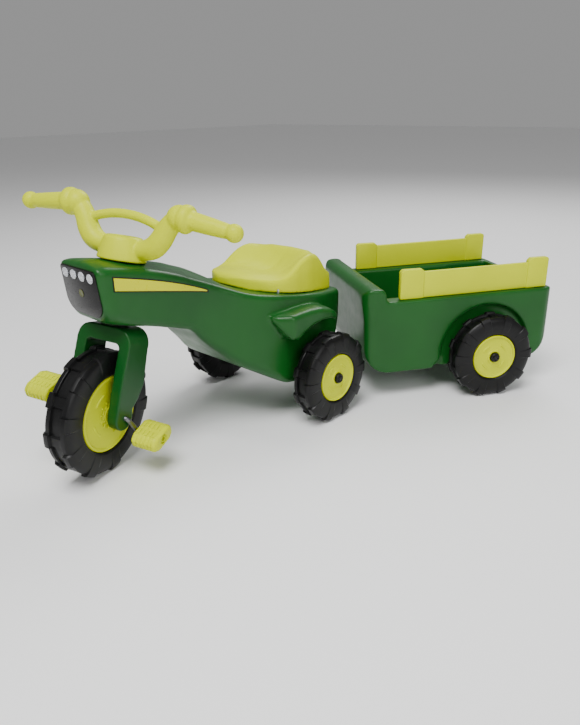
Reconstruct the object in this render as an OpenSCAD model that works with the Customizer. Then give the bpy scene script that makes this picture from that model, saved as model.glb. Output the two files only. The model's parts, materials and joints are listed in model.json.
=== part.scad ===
// Ride-on pedal tricycle moulded like a small tractor, towing a two-wheeled
// wagon. Steering is on a leaning stem, the front wheel is driven by its own
// bent crank, and the wagon turns on a vertical hitch pin.
// Axes: +X is the rider's left, -Y is forward, +Z is up, origin on the ground
// under the middle of the posed object.

/* [Pose] */
// steering turned to the rider's left, in degrees
steer_rest = 20.5; // [-40:0.5:40]
// wagon turned about its hitch pin, in degrees
hitch_rest = -33; // [-35:0.5:35]
// near crank arm below the rearward direction, in degrees
crank_rest = 40.5; // [0:0.5:90]

/* [Wheels] */
// outer radius of the front tyre over its lugs
front_r = 122; // [90:1:160]
// width of the front tyre
front_w = 56; // [40:1:80]
// radius of the front disc
front_disc_r = 73.5; // [50:0.5:95]
// number of lugs round the front tyre
front_lugs = 10; // [6:1:24]
// outer radius of the rear and wagon tyres over their lugs
rear_r = 97.5; // [75:0.5:130]
// width of the rear and wagon tyres
rear_w = 53; // [38:1:75]
// radius of the rear and wagon discs
rear_disc_r = 52; // [38:0.5:70]
// number of lugs round a rear or wagon tyre
rear_lugs = 10; // [6:1:22]
// height of the lugs
lug_h = 4.5; // [2:0.5:8]
// wall of the moulded tyres
tyre_wall = 4; // [3:0.5:6]

/* [Layout] */
// front axle to rear axle
wheelbase = 461.5; // [380:0.5:560]
// outer face of the rear discs from the middle plane
rear_face_x = 201; // [170:0.5:240]
// rear axle to hitch pin
hitch_back = 122; // [100:0.5:160]
// hitch pin to wagon axle
wagon_back = 388.5; // [340:0.5:460]
// outer face of the wagon discs from the wagon's middle plane
wagon_face_x = 215; // [195:0.5:250]

/* [Steering] */
// backward lean of the steering axis in degrees
rake = 14.3; // [5:0.1:25]
// front axle ahead of the steering axis
fork_off = 19.7; // [5:0.1:35]
// radius of the steering stem
stem_r = 12; // [8:0.5:16]
// thickness of a fork leg
leg_t = 22; // [14:0.5:30]
// gap between the tyre and a fork leg
leg_gap = 8; // [5:0.5:14]
// underside of the fork crown above the axle
crown_z = 135; // [128:0.5:180]
// thickness of the fork crown
crown_t = 28; // [18:0.5:40]
// height of the handlebar base
cone_h = 43; // [30:1:60]
// radius of the handlebar base
cone_r = 44.5; // [30:0.5:60]
// middle of the handlebar to a ball end
bar_half = 218; // [180:1:260]
// height of the grips above the front axle along the steering axis
bar_z = 360; // [320:1:420]

/* [Crank and pedals] */
// length of each crank arm
crank_len = 49; // [38:0.5:65]
// radius of the crank rod
rod_r = 4.5; // [3:0.25:7]
// pedal length along its spindle
pedal_len = 53; // [40:1:75]
// pedal size across, front to back
pedal_w = 62; // [45:1:80]
// pedal thickness
pedal_t = 30; // [20:1:40]
// pedal tilt in degrees
pedal_tilt = 30; // [-90:1:90]

/* [Body] */
// wall of the blow-moulded body
body_wall = 4; // [3:0.5:6]
// half width of the nose
nose_hw = 66; // [55:0.5:80]
// half width of the seat deck
deck_hw = 119; // [100:0.5:130]
// height of the nose top
nose_top = 402; // [370:1:440]
// underside of the body between the rear wheels
belly_z = 80; // [65:1:95]
// tail of the body behind the front axle
tail_y = 604; // [560:1:640]
// thickness of the printed side stripes
stripe_t = 0.8; // [0.5:0.1:2]

/* [Seat] */
// half width of the seat
seat_hw = 110; // [90:1:118]
// front tip of the seat behind the front axle
seat_y0 = 303; // [290:1:330]
// rear end of the seat behind the front axle
seat_y1 = 590; // [560:1:600]
// size of the seat's rises, at 66 the back crest is 82 over the deck
seat_rise = 66; // [40:1:90]
// wall of the moulded seat
seat_wall = 4; // [3:0.5:6]

/* [Wagon] */
// half width of the tub
tub_hw = 168; // [150:1:178]
// length of the tub
tub_len = 466; // [420:1:540]
// hitch pin to the front of the tub
tub_gap = 92; // [85:1:130]
// underside of the tub
tub_z0 = 65; // [55:1:80]
// height of the side ledges
ledge_z = 234; // [215:1:260]
// height of the rolled front wall
front_z = 265; // [250:1:300]
// wall of the moulded tub
tub_wall = 5; // [4:0.5:9]
// width of the hollow side walls
side_w = 40; // [30:1:50]
// radius of the wheel arches
arch_r = 115; // [106:1:125]
// length of the stake boards
stake_len = 364; // [300:1:400]
// height of the stake boards over the ledge
stake_h = 69; // [50:1:100]
// thickness of the stake boards
stake_t = 14; // [10:0.5:20]

/* [Fits] */
// radius of the rear and wagon axles
axle_r = 6; // [4:0.25:8]
// radial clearance of parts that turn or slide
run_gap = 0.08; // [0.02:0.01:0.1]
// gap between parts that only sit together
seat_gap = 0.05; // [0:0.01:0.1]
// gap between parts that move past each other
move_gap = 1; // [0.5:0.1:3]

/* [Hidden] */
$fn = 64;
e = 0.01;
hitch_y = wheelbase + hitch_back;
wagon_y = hitch_y + wagon_back;
tub_y0 = hitch_y + tub_gap;
tub_y1 = tub_y0 + tub_len;
// the steering axis passes this height over the ground at the front axle
lean = asin(sin(steer_rest)*sin(rake));
steer_z = front_r*cos(lean) + (front_w/2 - 5)*abs(sin(lean)) + fork_off*sin(rake)*(1 - cos(steer_rest));
ax_y = fork_off*cos(rake);
ax_z = steer_z - fork_off*sin(rake);
// fork
leg_in = front_w/2 + leg_gap;
leg_out = leg_in + leg_t;
crown_top = crown_z + crown_t;
pad_lo = crown_top + 4;
flange_t = 3;
bush_wall = 5;
bush_r = stem_r + run_gap + bush_wall;
// handlebar seat on the hood
cone_z = pad_lo + 114;
pad_hi = cone_z - move_gap;
stem_top = cone_z + cone_h - 5;
arm_r = 18;
collar_r = 25.5;
collar_x = bar_half - 101;
grip_r0 = 16.5;
grip_r1 = 13;
ball_r = 16.3;
// crank
web_x = leg_out + rod_r + move_gap;
pedal_x0 = web_x + rod_r + move_gap;
spindle_end = pedal_x0 + pedal_len - 6;
// rear wheels
rim_in_x = rear_face_x - rear_w + 2;
side_x = 130;
// width of the body at the rear axle, where spacers take the wheels
pin_r = 6;
lug_z = belly_z + 24;
tongue_z = lug_z - 14;
tongue_t = 12;
cavity_x = tub_hw - side_w;
floor_z = tub_z0 + 20;
hump_z = rear_r + axle_r + 12;
arch_x = wagon_face_x - rear_w - 8;
stake_x = tub_hw - 10 - stake_t;
stake_y0 = tub_y0 + 82;
peg = [22, 8, 26];
// middle of the object as posed
ox = ((tub_hw)*cos(hitch_rest) - (tub_y1 - hitch_y)*sin(hitch_rest) - (bar_half + 15)*cos(steer_rest))/2;
oy = (hitch_y - tub_hw*sin(hitch_rest) + (tub_y1 - hitch_y)*cos(hitch_rest) - front_r*0.97 - 3)/2;

// ---------- frames ----------
module place() { translate([-ox, -oy, 0]) children(); }
module steered() { place() translate([0, ax_y, ax_z]) rotate([-rake, 0, 0]) rotate([0, 0, steer_rest]) children(); }
module at_axis() { translate([0, ax_y, ax_z]) rotate([-rake, 0, 0]) children(); }
module wheel_front() { steered() translate([0, -fork_off, 0]) rotate([0, 90, 0]) children(); }
module towed() { place() translate([0, hitch_y, 0]) rotate([0, 0, hitch_rest]) translate([0, -hitch_y, 0]) children(); }
module left_right(s) { if (s > 0) children(); else mirror([1, 0, 0]) children(); }

// ---------- lofted skins ----------
// ring of a rounded section, with a crowned top: ht, hb half widths at top and
// bottom, zt, zb heights, rt, rb corner radii, cr crown
function arc4(cx, cz, r, a0) = [for (k = [0:4]) [cx + r*cos(a0 + k*22.5), cz + r*sin(a0 + k*22.5)]];
function half(ht, hb, zt, zb, rt, rb, cr) = concat(arc4(hb - rb, zb + rb, rb, -90), arc4(ht - rt, zt - cr - rt, rt, 0));
function ring(s, t) = let(h = half(s[1] - t, s[2] - t, s[3] - t, s[4] + t, max(s[5] - t, 2), max(s[6] - t, 2), s[7]), n = len(h))
    concat([for (i = [0:n-1]) [h[i][0], s[0], h[i][1]]], [[0, s[0], s[3] - t]], [for (i = [n-1:-1:0]) [-h[i][0], s[0], h[i][1]]]);
// skin through a list of rings that all have the same number of points
module skin(rings) {
    m = len(rings); n = len(rings[0]);
    polyhedron(points = [for (r = rings) for (p = r) p],
        faces = concat([[for (i = [n-1:-1:0]) i]], [[for (i = [0:n-1]) (m-1)*n + i]],
            [for (j = [0:m-2]) for (i = [0:n-1]) let(k = (i + 1) % n) each
                [[j*n + i, j*n + k, (j+1)*n + k], [j*n + i, (j+1)*n + k, (j+1)*n + i]]]), convexity = 10);
}

// ---------- body ----------
// stations: y, half width top, half width bottom, top, bottom, radii, crown
dk = deck_hw; nw = nose_hw; nt = nose_top; bz = belly_z; ty = tail_y;
body_st = [
    [-4, nw-7, nw-14, nt-7, nt-96, 14, 26, 3],
    [4, nw-3, nw-8, nt-1, nt-102, 14, 26, 4],
    [20, nw, nw-4, nt, nt-108, 14, 22, 5],
    [60, nw, nw-4, nt-4, nt-119, 14, 18, 6],
    [110, nw, nw-3, nt-14, nt-132, 14, 16, 8],
    [165, nw+2, nw, nt-28, nt-150, 14, 16, 12],
    [192, nw+3, nw, nt-38, nt-161, 14, 16, 14],
    [218, nw+6, nw, nt-48, nt-190, 14, 16, 17],
    [246, 80, 78, nt-62, nt-218, 14, 18, 14],
    [280, 96, 100, nt-84, 151, 12, 22, 8],
    [312, 107, 113, nt-100, 130, 10, 26, 4],
    [345, dk-4, 123, 293, 110, 10, 28, 3],
    [383, dk, 130, 286, bz+8, 10, 30, 3],
    [432, dk, side_x, 277, bz, 10, 32, 3],
    [500, dk-4, 126, 266, bz+1, 10, 32, 3],
    [560, dk-19, 104, 257, bz+26, 10, 34, 3],
    [ty-8, 87, 86, 251, bz+68, 12, 34, 3],
    [ty, 80, 78, 248, bz+76, 12, 34, 3]];
function inner_st(t) = [for (i = [0:len(body_st)-1]) let(s = body_st[i])
    [s[0] + (i == 0 ? t : i == len(body_st)-1 ? -t : 0), s[1], s[2], s[3], s[4], s[5], s[6], s[7]]];
// fender wing over each rear wheel: y, outer x, inner top, lip
fx = rear_face_x - 41;
function wing_lip(y) = rear_r + sqrt(max(1, pow(rear_r + 24.5, 2) - pow(y - wheelbase, 2)));
wing_st = [
    [wheelbase-118, 124, 249, 238],
    [wheelbase-86, fx, 250, rear_r+98.5],
    [wheelbase-61, fx, 251, wing_lip(wheelbase-61)],
    [wheelbase-31, fx, 251, wing_lip(wheelbase-31)],
    [wheelbase, fx, 249, wing_lip(wheelbase)],
    [wheelbase+28, fx, 238, wing_lip(wheelbase+28)],
    [wheelbase+54, fx-8, 222, wing_lip(wheelbase+54)]];
function wing_ring(s) = [[s[1] - 6, s[0], s[3]], [s[1], s[0], s[3]], [s[1], s[0], s[3] + 0.15*(s[2] - s[3])], [s[1] - 4, s[0], s[2] - 3 - 0.35*(s[2] - s[3])],
    [s[1] - 14, s[0], s[2] - 3], [106, s[0], s[2]], [106, s[0], s[3] + 1]];
module wing() skin([for (s = wing_st) wing_ring(s)]);

module body_shell() color([0.13, 0.42, 0.16]) place() {
    difference() {
        union() {
            difference() {
                skin([for (s = body_st) ring(s, 0)]);
                difference() {
                    skin([for (s = inner_st(body_wall)) ring(s, body_wall)]);
                    // head tube and axle tunnel stay solid
                    at_axis() translate([0, 0, crown_z]) cylinder(r = bush_r + 5, h = cone_z + 40 - crown_z);
                    translate([-side_x - 5, wheelbase, rear_r]) rotate([0, 90, 0]) cylinder(r = axle_r + 5, h = 2*side_x + 10);
                }
            }
            wing();
            mirror([1, 0, 0]) wing();
            // hitch block under the tail
            translate([-22, hitch_y - 26, lug_z]) cube([44, 52, bz + 40 - lug_z + 24]);
        }
        // flat seats for the two steering bushes
        at_axis() translate([0, 0, pad_lo - 60]) cylinder(r = cone_r + 20, h = 60);
        at_axis() translate([0, 0, pad_hi]) cylinder(r = cone_r + 3, h = 60);
        at_axis() translate([0, 0, crown_z]) cylinder(r = bush_r + seat_gap, h = cone_z + 60 - crown_z);
        translate([-fx, wheelbase, rear_r]) rotate([0, 90, 0]) cylinder(r = axle_r + seat_gap, h = 2*fx);
        translate([0, hitch_y, lug_z - 10]) cylinder(r = pin_r + seat_gap, h = 44);
        for (p = screw_at) translate([p[0], p[1], p[2] - 30]) cylinder(r = 3.5 + seat_gap, h = 60);
    }
}

// nose panel: shield outline in the X-Z plane, its back follows the nose
pan_t = 2;
function shield(hw, z0, z1, rl, ru) = concat(
    [for (k = [0:8]) [hw - 4 - rl + rl*sin(k*11.25), z0 + rl - rl*cos(k*11.25)]],
    [for (k = [0:4]) [hw - ru + ru*cos(k*22.5), z1 - ru + ru*sin(k*22.5)]],
    [for (k = [4:-1:0]) [-(hw - ru + ru*cos(k*22.5)), z1 - ru + ru*sin(k*22.5)]],
    [for (k = [8:-1:0]) [-(hw - 4 - rl + rl*sin(k*11.25)), z0 + rl - rl*cos(k*11.25)]]);
module front_plate(pts, y, t) translate([0, y, 0]) rotate([90, 0, 0]) linear_extrude(t) polygon(pts);
module grille_panel() color([0.06, 0.06, 0.06]) place() front_plate(shield(nw - 9, nt - 95, nt - 12, 26, 7), -4 - seat_gap, pan_t);
lamp_r = 8.5;
lamp_pitch = 27;
module headlamps() color([0.72, 0.74, 0.76]) place() for (i = [-1.5:1:1.5])
    translate([i*lamp_pitch, -4 - 2*seat_gap - pan_t, nt - 25]) rotate([90, 0, 0]) cylinder(r = lamp_r, h = 2);
module front_badge() color([0.35, 0.36, 0.16]) place()
    translate([0, -4 - 2*seat_gap - pan_t, nt - 54]) rotate([90, 0, 0]) cylinder(r = 7, h = 1.5);

// side stripes lie on the hood's flank between two stations
stripe_y0 = 26;
stripe_y1 = 218;
function flank_x(y) = y < 110 ? nw : y < 165 ? nw + 2*(y-110)/55 : y < 192 ? nw + 2 + (y-165)/27 : nw + 3 + 3*(y-192)/26;
// upper and lower edge of a stripe, i is the inset of the field
function up_z(y, i) = nt - 19 - i - 0.19*(y - stripe_y0) - 0.00098*pow(y - stripe_y0, 2);
function lo_z(y, i) = nt - 46 + i - 0.21*(y - stripe_y0);
function stripe_ring(y, i, x0, x1) = let(u = max(up_z(y, i), lo_z(y, i) + 0.8), l = lo_z(y, i)) [[x0, y, l], [x1, y, l], [x1, y, u], [x0, y, u]];
module stripe(i, lift, t) skin([for (k = [0:6]) let(y = stripe_y0 + i + k*(stripe_y1 - 2.5*i - stripe_y0)/6) stripe_ring(y, i, flank_x(y) + lift, flank_x(y) + lift + t)]);
module stripe_border(s) color([0.05, 0.05, 0.05]) place() left_right(s) stripe(0, seat_gap, stripe_t);
module stripe_field(s) color([0.87, 0.88, 0.33]) place() left_right(s) stripe(3, 2*seat_gap + stripe_t, 0.4);
module stripe_border_left() stripe_border(1);
module stripe_border_right() stripe_border(-1);
module stripe_field_left() stripe_field(1);
module stripe_field_right() stripe_field(-1);

// ---------- seat ----------
// deck height under the seat
function deck(y) = y < 345 ? 318 - (y - 280)*0.385 : 293 - (y - 345)*0.174;
// stations along the seat: share of the length, share of the half width, then
// heights over the deck at the shoulder, at mid width and on the centre line
seat_st = [[0, 0.36, 10, 11, 11], [0.06, 0.62, 13, 15, 14], [0.15, 0.84, 20, 21, 19], [0.27, 0.98, 24, 19, 13], [0.39, 1, 28, 20, 12], [0.49, 1, 41, 28, 17],
    [0.58, 0.97, 62, 40, 26], [0.65, 0.945, 78, 58, 42], [0.7, 0.92, 78, 76, 68], [0.75, 0.88, 62, 82, 81], [0.8, 0.85, 44, 68, 77], [0.855, 0.8, 34, 44, 50], [0.91, 0.76, 33, 37, 39], [1, 0.66, 31, 35, 37]];
function seat_half(u) = seat_hw*lookup(u, [for (q = seat_st) [q[0], q[1]]]);
// u along, t inset of the wall; heights grow with seat_rise
function seat_ring(q, t) = let(y = seat_y0 + q[0]*(seat_y1 - seat_y0), w = seat_hw*q[1] - t, b = deck(y) + 2, g = seat_rise/66, h = [for (i = [2:4]) b + q[i]*g - t], m = b + max(q[2]*g*0.6 - t, 1))
    [[w, y, b], [w, y, m], [0.97*w, y, h[0] - 0.12*(h[0] - m)], [0.9*w, y, h[0]], [0.6*w, y, h[1]], [0.3*w, y, 0.5*h[1] + 0.5*h[2] - 0.12*(h[1] - h[2])], [0, y, h[2]],
     [-0.3*w, y, 0.5*h[1] + 0.5*h[2] - 0.12*(h[1] - h[2])], [-0.6*w, y, h[1]], [-0.9*w, y, h[0]], [-0.97*w, y, h[0] - 0.12*(h[0] - m)], [-w, y, m], [-w, y, b]];
module seat() color([0.87, 0.90, 0.16]) place() difference() {
    skin([for (q = seat_st) seat_ring(q, 0)]);
    // hollow underneath
    translate([0, 0, -0.5]) skin([for (k = [1:len(seat_st)-1]) let(q = seat_st[k]) seat_ring(k == len(seat_st)-1 ? [1 - seat_wall/(seat_y1 - seat_y0), q[1], q[2], q[3], q[4]] : q, seat_wall)]);
    for (p = screw_at) translate([p[0], p[1], p[2] - 40]) cylinder(r = 3.5 + seat_gap, h = 60);
}
screw_in = seat_wall + 9;
screw_at = [for (v = [0.3, 0.78]) for (s = [-1, 1]) let(y = seat_y0 + v*(seat_y1 - seat_y0)) [s*(seat_half(v) - screw_in), y, deck(y)]];
module seat_screws() color([0.75, 0.76, 0.78]) place() for (p = screw_at) translate([p[0], p[1], p[2] - 14]) { cylinder(r = 3.5, h = 20); translate([0, 0, -4]) cylinder(r = 6, h = 4); }

// ---------- steering bushes ----------
module sleeve(z0, z1) { difference() { translate([0, 0, z0]) cylinder(r = bush_r, h = z1 - z0); translate([0, 0, z0 - 5]) cylinder(r = stem_r + run_gap, h = z1 - z0 + 10); } }
module bush_lower() color([0.1, 0.1, 0.1]) place() at_axis() difference() {
    union() { translate([0, 0, pad_lo - flange_t]) cylinder(r = bush_r, h = 30 + flange_t); translate([0, 0, pad_lo - flange_t - seat_gap]) cylinder(r = bush_r + 8, h = flange_t); }
    translate([0, 0, crown_top]) cylinder(r = stem_r + run_gap, h = 60);
}
module bush_upper() color([0.1, 0.1, 0.1]) place() at_axis() sleeve(pad_hi - 30, pad_hi + move_gap/2);

// ---------- steering group ----------
tip_r = 24.5;
// side outline of a leg: round end about the axle, then up to the crown
leg_prof = concat([for (k = [0:12]) [-fork_off + tip_r*cos(30 - k*17.5), tip_r*sin(30 - k*17.5)]],
    [[-fork_off - tip_r + 3, 52], [-fork_off - 11, crown_z], [-fork_off - 9, crown_top], [fork_off + 11, crown_top], [fork_off + 11, crown_z], [fork_off + 10, 56], [fork_off - 2, 32]]);
module fork() color([0.10, 0.33, 0.13]) steered() difference() {
    intersection() {
        // front view: an upside-down U with rounded shoulders
        translate([0, 90, 0]) rotate([90, 0, 0]) linear_extrude(180) polygon(concat(
            [[leg_in, -tip_r - 5], [leg_out, -tip_r - 5]],
            [for (k = [0:8]) [leg_out - 28 + 28*cos(k*11.25), crown_top - 28 + 28*sin(k*11.25)]],
            [for (k = [8:-1:0]) [-leg_out + 28 - 28*cos(k*11.25), crown_top - 28 + 28*sin(k*11.25)]],
            [[-leg_out, -tip_r - 5], [-leg_in, -tip_r - 5]],
            [for (k = [0:4]) [-leg_in + 10 - 10*cos(k*22.5), crown_z - 10 + 10*sin(k*22.5)]],
            [for (k = [4:-1:0]) [leg_in - 10 + 10*cos(k*22.5), crown_z - 10 + 10*sin(k*22.5)]]));
        // side view: legs taper forward to round ends at the axle
        translate([-100, 0, 0]) rotate([90, 0, 90]) linear_extrude(200) polygon(leg_prof);
    }
    translate([-100, -fork_off, 0]) rotate([0, 90, 0]) cylinder(r = rod_r + 2.5 + seat_gap, h = 200);
    translate([0, 0, crown_z - 5]) cylinder(r = stem_r + seat_gap, h = crown_t + 10);
}
module axle_bushes() color([0.1, 0.1, 0.1]) steered() for (s = [-1, 1]) translate([s < 0 ? -leg_out : leg_in, -fork_off, 0]) rotate([0, 90, 0]) difference() {
    cylinder(r = rod_r + 2.5, h = leg_t);
    translate([0, 0, -5]) cylinder(r = rod_r + run_gap, h = leg_t + 10);
}
module steering_stem() color([0.62, 0.63, 0.65]) steered() difference() {
    translate([0, 0, crown_z + 2]) cylinder(r = stem_r, h = stem_top - crown_z - 2);
    translate([0, 0, crown_z - 3]) cylinder(r = stem_r - 2.5, h = stem_top - crown_z - 12);
    translate([0, 30, cone_z + 18]) rotate([90, 0, 0]) cylinder(r = 3 + seat_gap, h = 60);
}
// straight tapered rod between two points in the X-Z plane, and the ball at a bend
module rod2(a, b, ra, rb) {
    d = [b[0] - a[0], b[1] - a[1]]; l = norm(d);
    translate([a[0], 0, a[1]]) rotate([0, atan2(d[0], d[1]), 0]) cylinder(r1 = ra, r2 = rb, h = l);
}
module knee(p, r, a) translate([p[0], 0, p[1]]) rotate([0, sign(p[0])*(90 - a), 0]) sphere(r);
grip_l = norm([bar_half - collar_x, 11]);
module handlebar() color([0.87, 0.90, 0.16]) steered() difference() {
    union() {
        translate([0, 0, cone_z]) cylinder(r1 = cone_r, r2 = cone_r*0.74, h = cone_h);
        for (s = [-1, 1]) {
            rod2([s*20, cone_z + 22], [s*54, cone_z + 27], arm_r, arm_r + 2);
            knee([s*54, cone_z + 27], arm_r + 2.8, 26);
            rod2([s*54, cone_z + 27], [s*74, cone_z + 46], arm_r + 2, arm_r - 1);
            knee([s*74, cone_z + 46], arm_r + 0.4, 53);
            rod2([s*74, cone_z + 46], [s*86, cone_z + 70], arm_r - 1, arm_r - 2);
            knee([s*86, cone_z + 70], arm_r - 1.2, 48);
            rod2([s*86, cone_z + 70], [s*collar_x, bar_z + 11], arm_r - 2, arm_r - 1);
            // grip: flange, taper and ball end turned about one line
            translate([s*collar_x, 0, bar_z + 11]) rotate([0, s*atan2(bar_half - collar_x, -11), 0]) rotate_extrude() polygon(concat([[0, collar_r*sin(-70)]],
                [for (a = [-70:14:42]) [collar_r*cos(a), collar_r*sin(a)]], [[grip_r0 + 1, 22], [grip_r1, grip_l - 11]],
                [for (a = [-50:13:67]) [ball_r*cos(a), grip_l + ball_r*sin(a)]], [[ball_r*0.2, grip_l + ball_r*0.98], [0, grip_l + ball_r*0.98]]));
        }
        // arched crossbar
        translate([0, 0, cone_z + 82 - 195]) rotate([90, 0, 0]) rotate([0, 0, 90 - 22]) rotate_extrude(angle = 44) translate([195, 0]) circle(8.5);
    }
    translate([0, 0, cone_z - 5]) cylinder(r = stem_r + seat_gap, h = stem_top - cone_z + 5 + seat_gap);
    // blind bore for the cross bolt, open on the rider's side
    translate([0, 60, cone_z + 18]) rotate([90, 0, 0]) cylinder(r = 3 + seat_gap, h = 69 + stem_r);
}
module stem_bolt() color([0.75, 0.76, 0.78]) steered() {
    y1 = cone_r*0.955;
    translate([0, y1 + 2, cone_z + 18]) rotate([90, 0, 0]) cylinder(r = 3, h = y1 + stem_r + 10);
    translate([0, y1 + 4, cone_z + 18]) rotate([90, 0, 0]) cylinder(r = 6, h = 4);
}

// ---------- wheels, drawn with the axle along Z and the outer face up ----------
// tyre: two half widths, open to the disc inside, with lugs all round
module tyre(r, w, disc, n) difference() {
    union() {
        rotate_extrude() polygon([[disc + 0.3, -w/2 + 3], [disc + 6, -w/2], [r - 22, -w/2], [r - lug_h - 1, -w/2 + 4],
            [r - lug_h - 1, w/2 - 4], [r - 22, w/2], [disc + 6, w/2], [disc + 0.3, w/2 - 3]]);
        for (i = [0:n-1]) for (s = [0, 1]) rotate([0, 0, (i + s/2)*360/n]) translate([0, 0, s ? -w/2 + 5.5 : -2.5])
            linear_extrude(w/2 - 3) polygon(concat([[r - 16, r*PI/n*0.56], [r - 16, -r*PI/n*0.56]], [for (k = [-1:1]) [r*cos(k*100.8/n), r*sin(k*100.8/n)]]));
    }
    rotate_extrude() polygon([[disc - 10, -w/2 + tyre_wall + 4], [r - 24, -w/2 + tyre_wall], [r - 8 - tyre_wall, -w/2 + 10], [r - 8 - tyre_wall, w/2 - 10], [r - 24, w/2 - tyre_wall], [disc - 10, w/2 - tyre_wall - 4]]);
}
// shallow dished disc with a hub tube reaching in to depth d
module disc(r, bore, hub, d) difference() {
    union() {
        translate([0, 0, -3]) cylinder(r = r, h = 3);
        translate([0, 0, -3]) rotate_extrude() polygon([[r - 4, 0], [r, 0], [r, 4.5], [r - 3, 4.5]]);
        translate([0, 0, -d]) cylinder(r = hub, h = d + 1.5);
        translate([0, 0, -2]) rotate_extrude() polygon([[hub + 5, 0], [hub + 16, 0], [hub + 15, 3.5], [hub + 6, 3.5]]);
    }
    translate([0, 0, -d - 5]) cylinder(r = bore, h = d + 20);
}
module front_tyre() color([0.07, 0.07, 0.075]) wheel_front() tyre(front_r, front_w, front_disc_r, front_lugs);
front_face = front_w/2 - 4.3;
module front_disc(s) color([0.85, 0.88, 0.16]) wheel_front() rotate([s > 0 ? 0 : 180, 0, 0]) translate([0, 0, front_face]) disc(front_disc_r, rod_r + seat_gap, 16, front_face - 1);
module front_disc_left() front_disc(1);
module front_disc_right() front_disc(-1);

// crank: axle, two opposite arms and two spindles bent from one rod
cdir = [cos(crank_rest), -sin(crank_rest)];
module lat(x0, x1, y, z, r) translate([x0, y, z]) rotate([0, 90, 0]) cylinder(r = r, h = x1 - x0);
module crank_rod() color([0.55, 0.56, 0.58]) steered() translate([0, -fork_off, 0]) {
    lat(-web_x, web_x, 0, 0, rod_r);
    for (s = [-1, 1]) {
        translate([s*web_x, 0, 0]) rotate([s > 0 ? -90 - crank_rest : 90 - crank_rest, 0, 0]) translate([0, 0, -rod_r - 1]) cylinder(r = rod_r + 0.7, h = crank_len + 2*rod_r + 2);
        lat(s > 0 ? web_x : -spindle_end, s > 0 ? spindle_end : -web_x, s*crank_len*cdir[0], s*crank_len*cdir[1], rod_r);
    }
}
module at_pedal(s) steered() translate([0, -fork_off + s*crank_len*cdir[0], s*crank_len*cdir[1]]) children();
module pedal(s) color([0.87, 0.90, 0.16]) at_pedal(s) left_right(s) difference() {
    translate([pedal_x0, 0, 0]) rotate([pedal_tilt, 0, 0]) rotate([90, 0, 90]) linear_extrude(pedal_len)
        polygon([[-pedal_w/2, -pedal_t*0.22], [-pedal_w*0.3, -pedal_t/2], [pedal_w*0.3, -pedal_t/2], [pedal_w/2, -pedal_t*0.22], [pedal_w/2, pedal_t*0.22], [pedal_w*0.3, pedal_t/2], [-pedal_w*0.3, pedal_t/2], [-pedal_w/2, pedal_t*0.22]]);
    lat(pedal_x0 - 5, pedal_x0 + pedal_len + 5, 0, 0, rod_r + run_gap);
    lat(pedal_x0 + pedal_len - 8, pedal_x0 + pedal_len + 5, 0, 0, rod_r + 4 + seat_gap);
}
module pedal_left() pedal(1);
module pedal_right() pedal(-1);
module pedal_cap(s) color([0.1, 0.1, 0.1]) at_pedal(s) left_right(s) lat(pedal_x0 + pedal_len - 5, pedal_x0 + pedal_len + 1, 0, 0, rod_r + 4);
module pedal_cap_left() pedal_cap(1);
module pedal_cap_right() pedal_cap(-1);

// rear and wagon wheels share one pattern
module wheel_at(s, x, y) translate([s*x, y, rear_r]) rotate([0, s*90, 0]) children();
module small_tyre() color([0.07, 0.07, 0.075]) translate([0, 0, -rear_w/2 + 2]) tyre(rear_r, rear_w, rear_disc_r, rear_lugs);
module small_disc() color([0.85, 0.88, 0.16]) { translate([0, 0, -3]) difference() { translate([0, 0, 0.6]) disc(rear_disc_r, axle_r + run_gap, 14, rear_w - 8); }
}
module small_cap() color([0.08, 0.08, 0.08]) difference() { translate([0, 0, 0.2]) cylinder(r = 11, h = 6.5); translate([0, 0, -1]) cylinder(r = axle_r + move_gap, h = 5); }
module rear_tyre_left() place() wheel_at(1, rear_face_x, wheelbase) small_tyre();
module rear_tyre_right() place() wheel_at(-1, rear_face_x, wheelbase) small_tyre();
module rear_disc_left() place() wheel_at(1, rear_face_x, wheelbase) small_disc();
module rear_disc_right() place() wheel_at(-1, rear_face_x, wheelbase) small_disc();
module rear_cap_left() place() wheel_at(1, rear_face_x, wheelbase) small_cap();
module rear_cap_right() place() wheel_at(-1, rear_face_x, wheelbase) small_cap();
module wagon_tyre_left() towed() wheel_at(1, wagon_face_x, wagon_y) small_tyre();
module wagon_tyre_right() towed() wheel_at(-1, wagon_face_x, wagon_y) small_tyre();
module wagon_disc_left() towed() wheel_at(1, wagon_face_x, wagon_y) small_disc();
module wagon_disc_right() towed() wheel_at(-1, wagon_face_x, wagon_y) small_disc();
module wagon_cap_left() towed() wheel_at(1, wagon_face_x, wagon_y) small_cap();
module wagon_cap_right() towed() wheel_at(-1, wagon_face_x, wagon_y) small_cap();
module axle(face, y) lat(-face - 2, face + 2, y, rear_r, axle_r);
module spacers(x0, face, y) for (s = [-1, 1]) difference() { wheel_at(s, 0, y) translate([0, 0, x0]) cylinder(r = 11, h = face - rear_w + 5.6 - move_gap/2 - x0); lat(-face, face, y, rear_r, axle_r + seat_gap); }
module rear_axle() color([0.6, 0.61, 0.63]) place() axle(rear_face_x, wheelbase);
module rear_spacers() color([0.1, 0.1, 0.1]) place() spacers(side_x + seat_gap, rear_face_x, wheelbase);
module wagon_axle() color([0.6, 0.61, 0.63]) towed() axle(wagon_face_x, wagon_y);
module wagon_spacers() color([0.1, 0.1, 0.1]) towed() spacers(arch_x + seat_gap, wagon_face_x, wagon_y);

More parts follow.
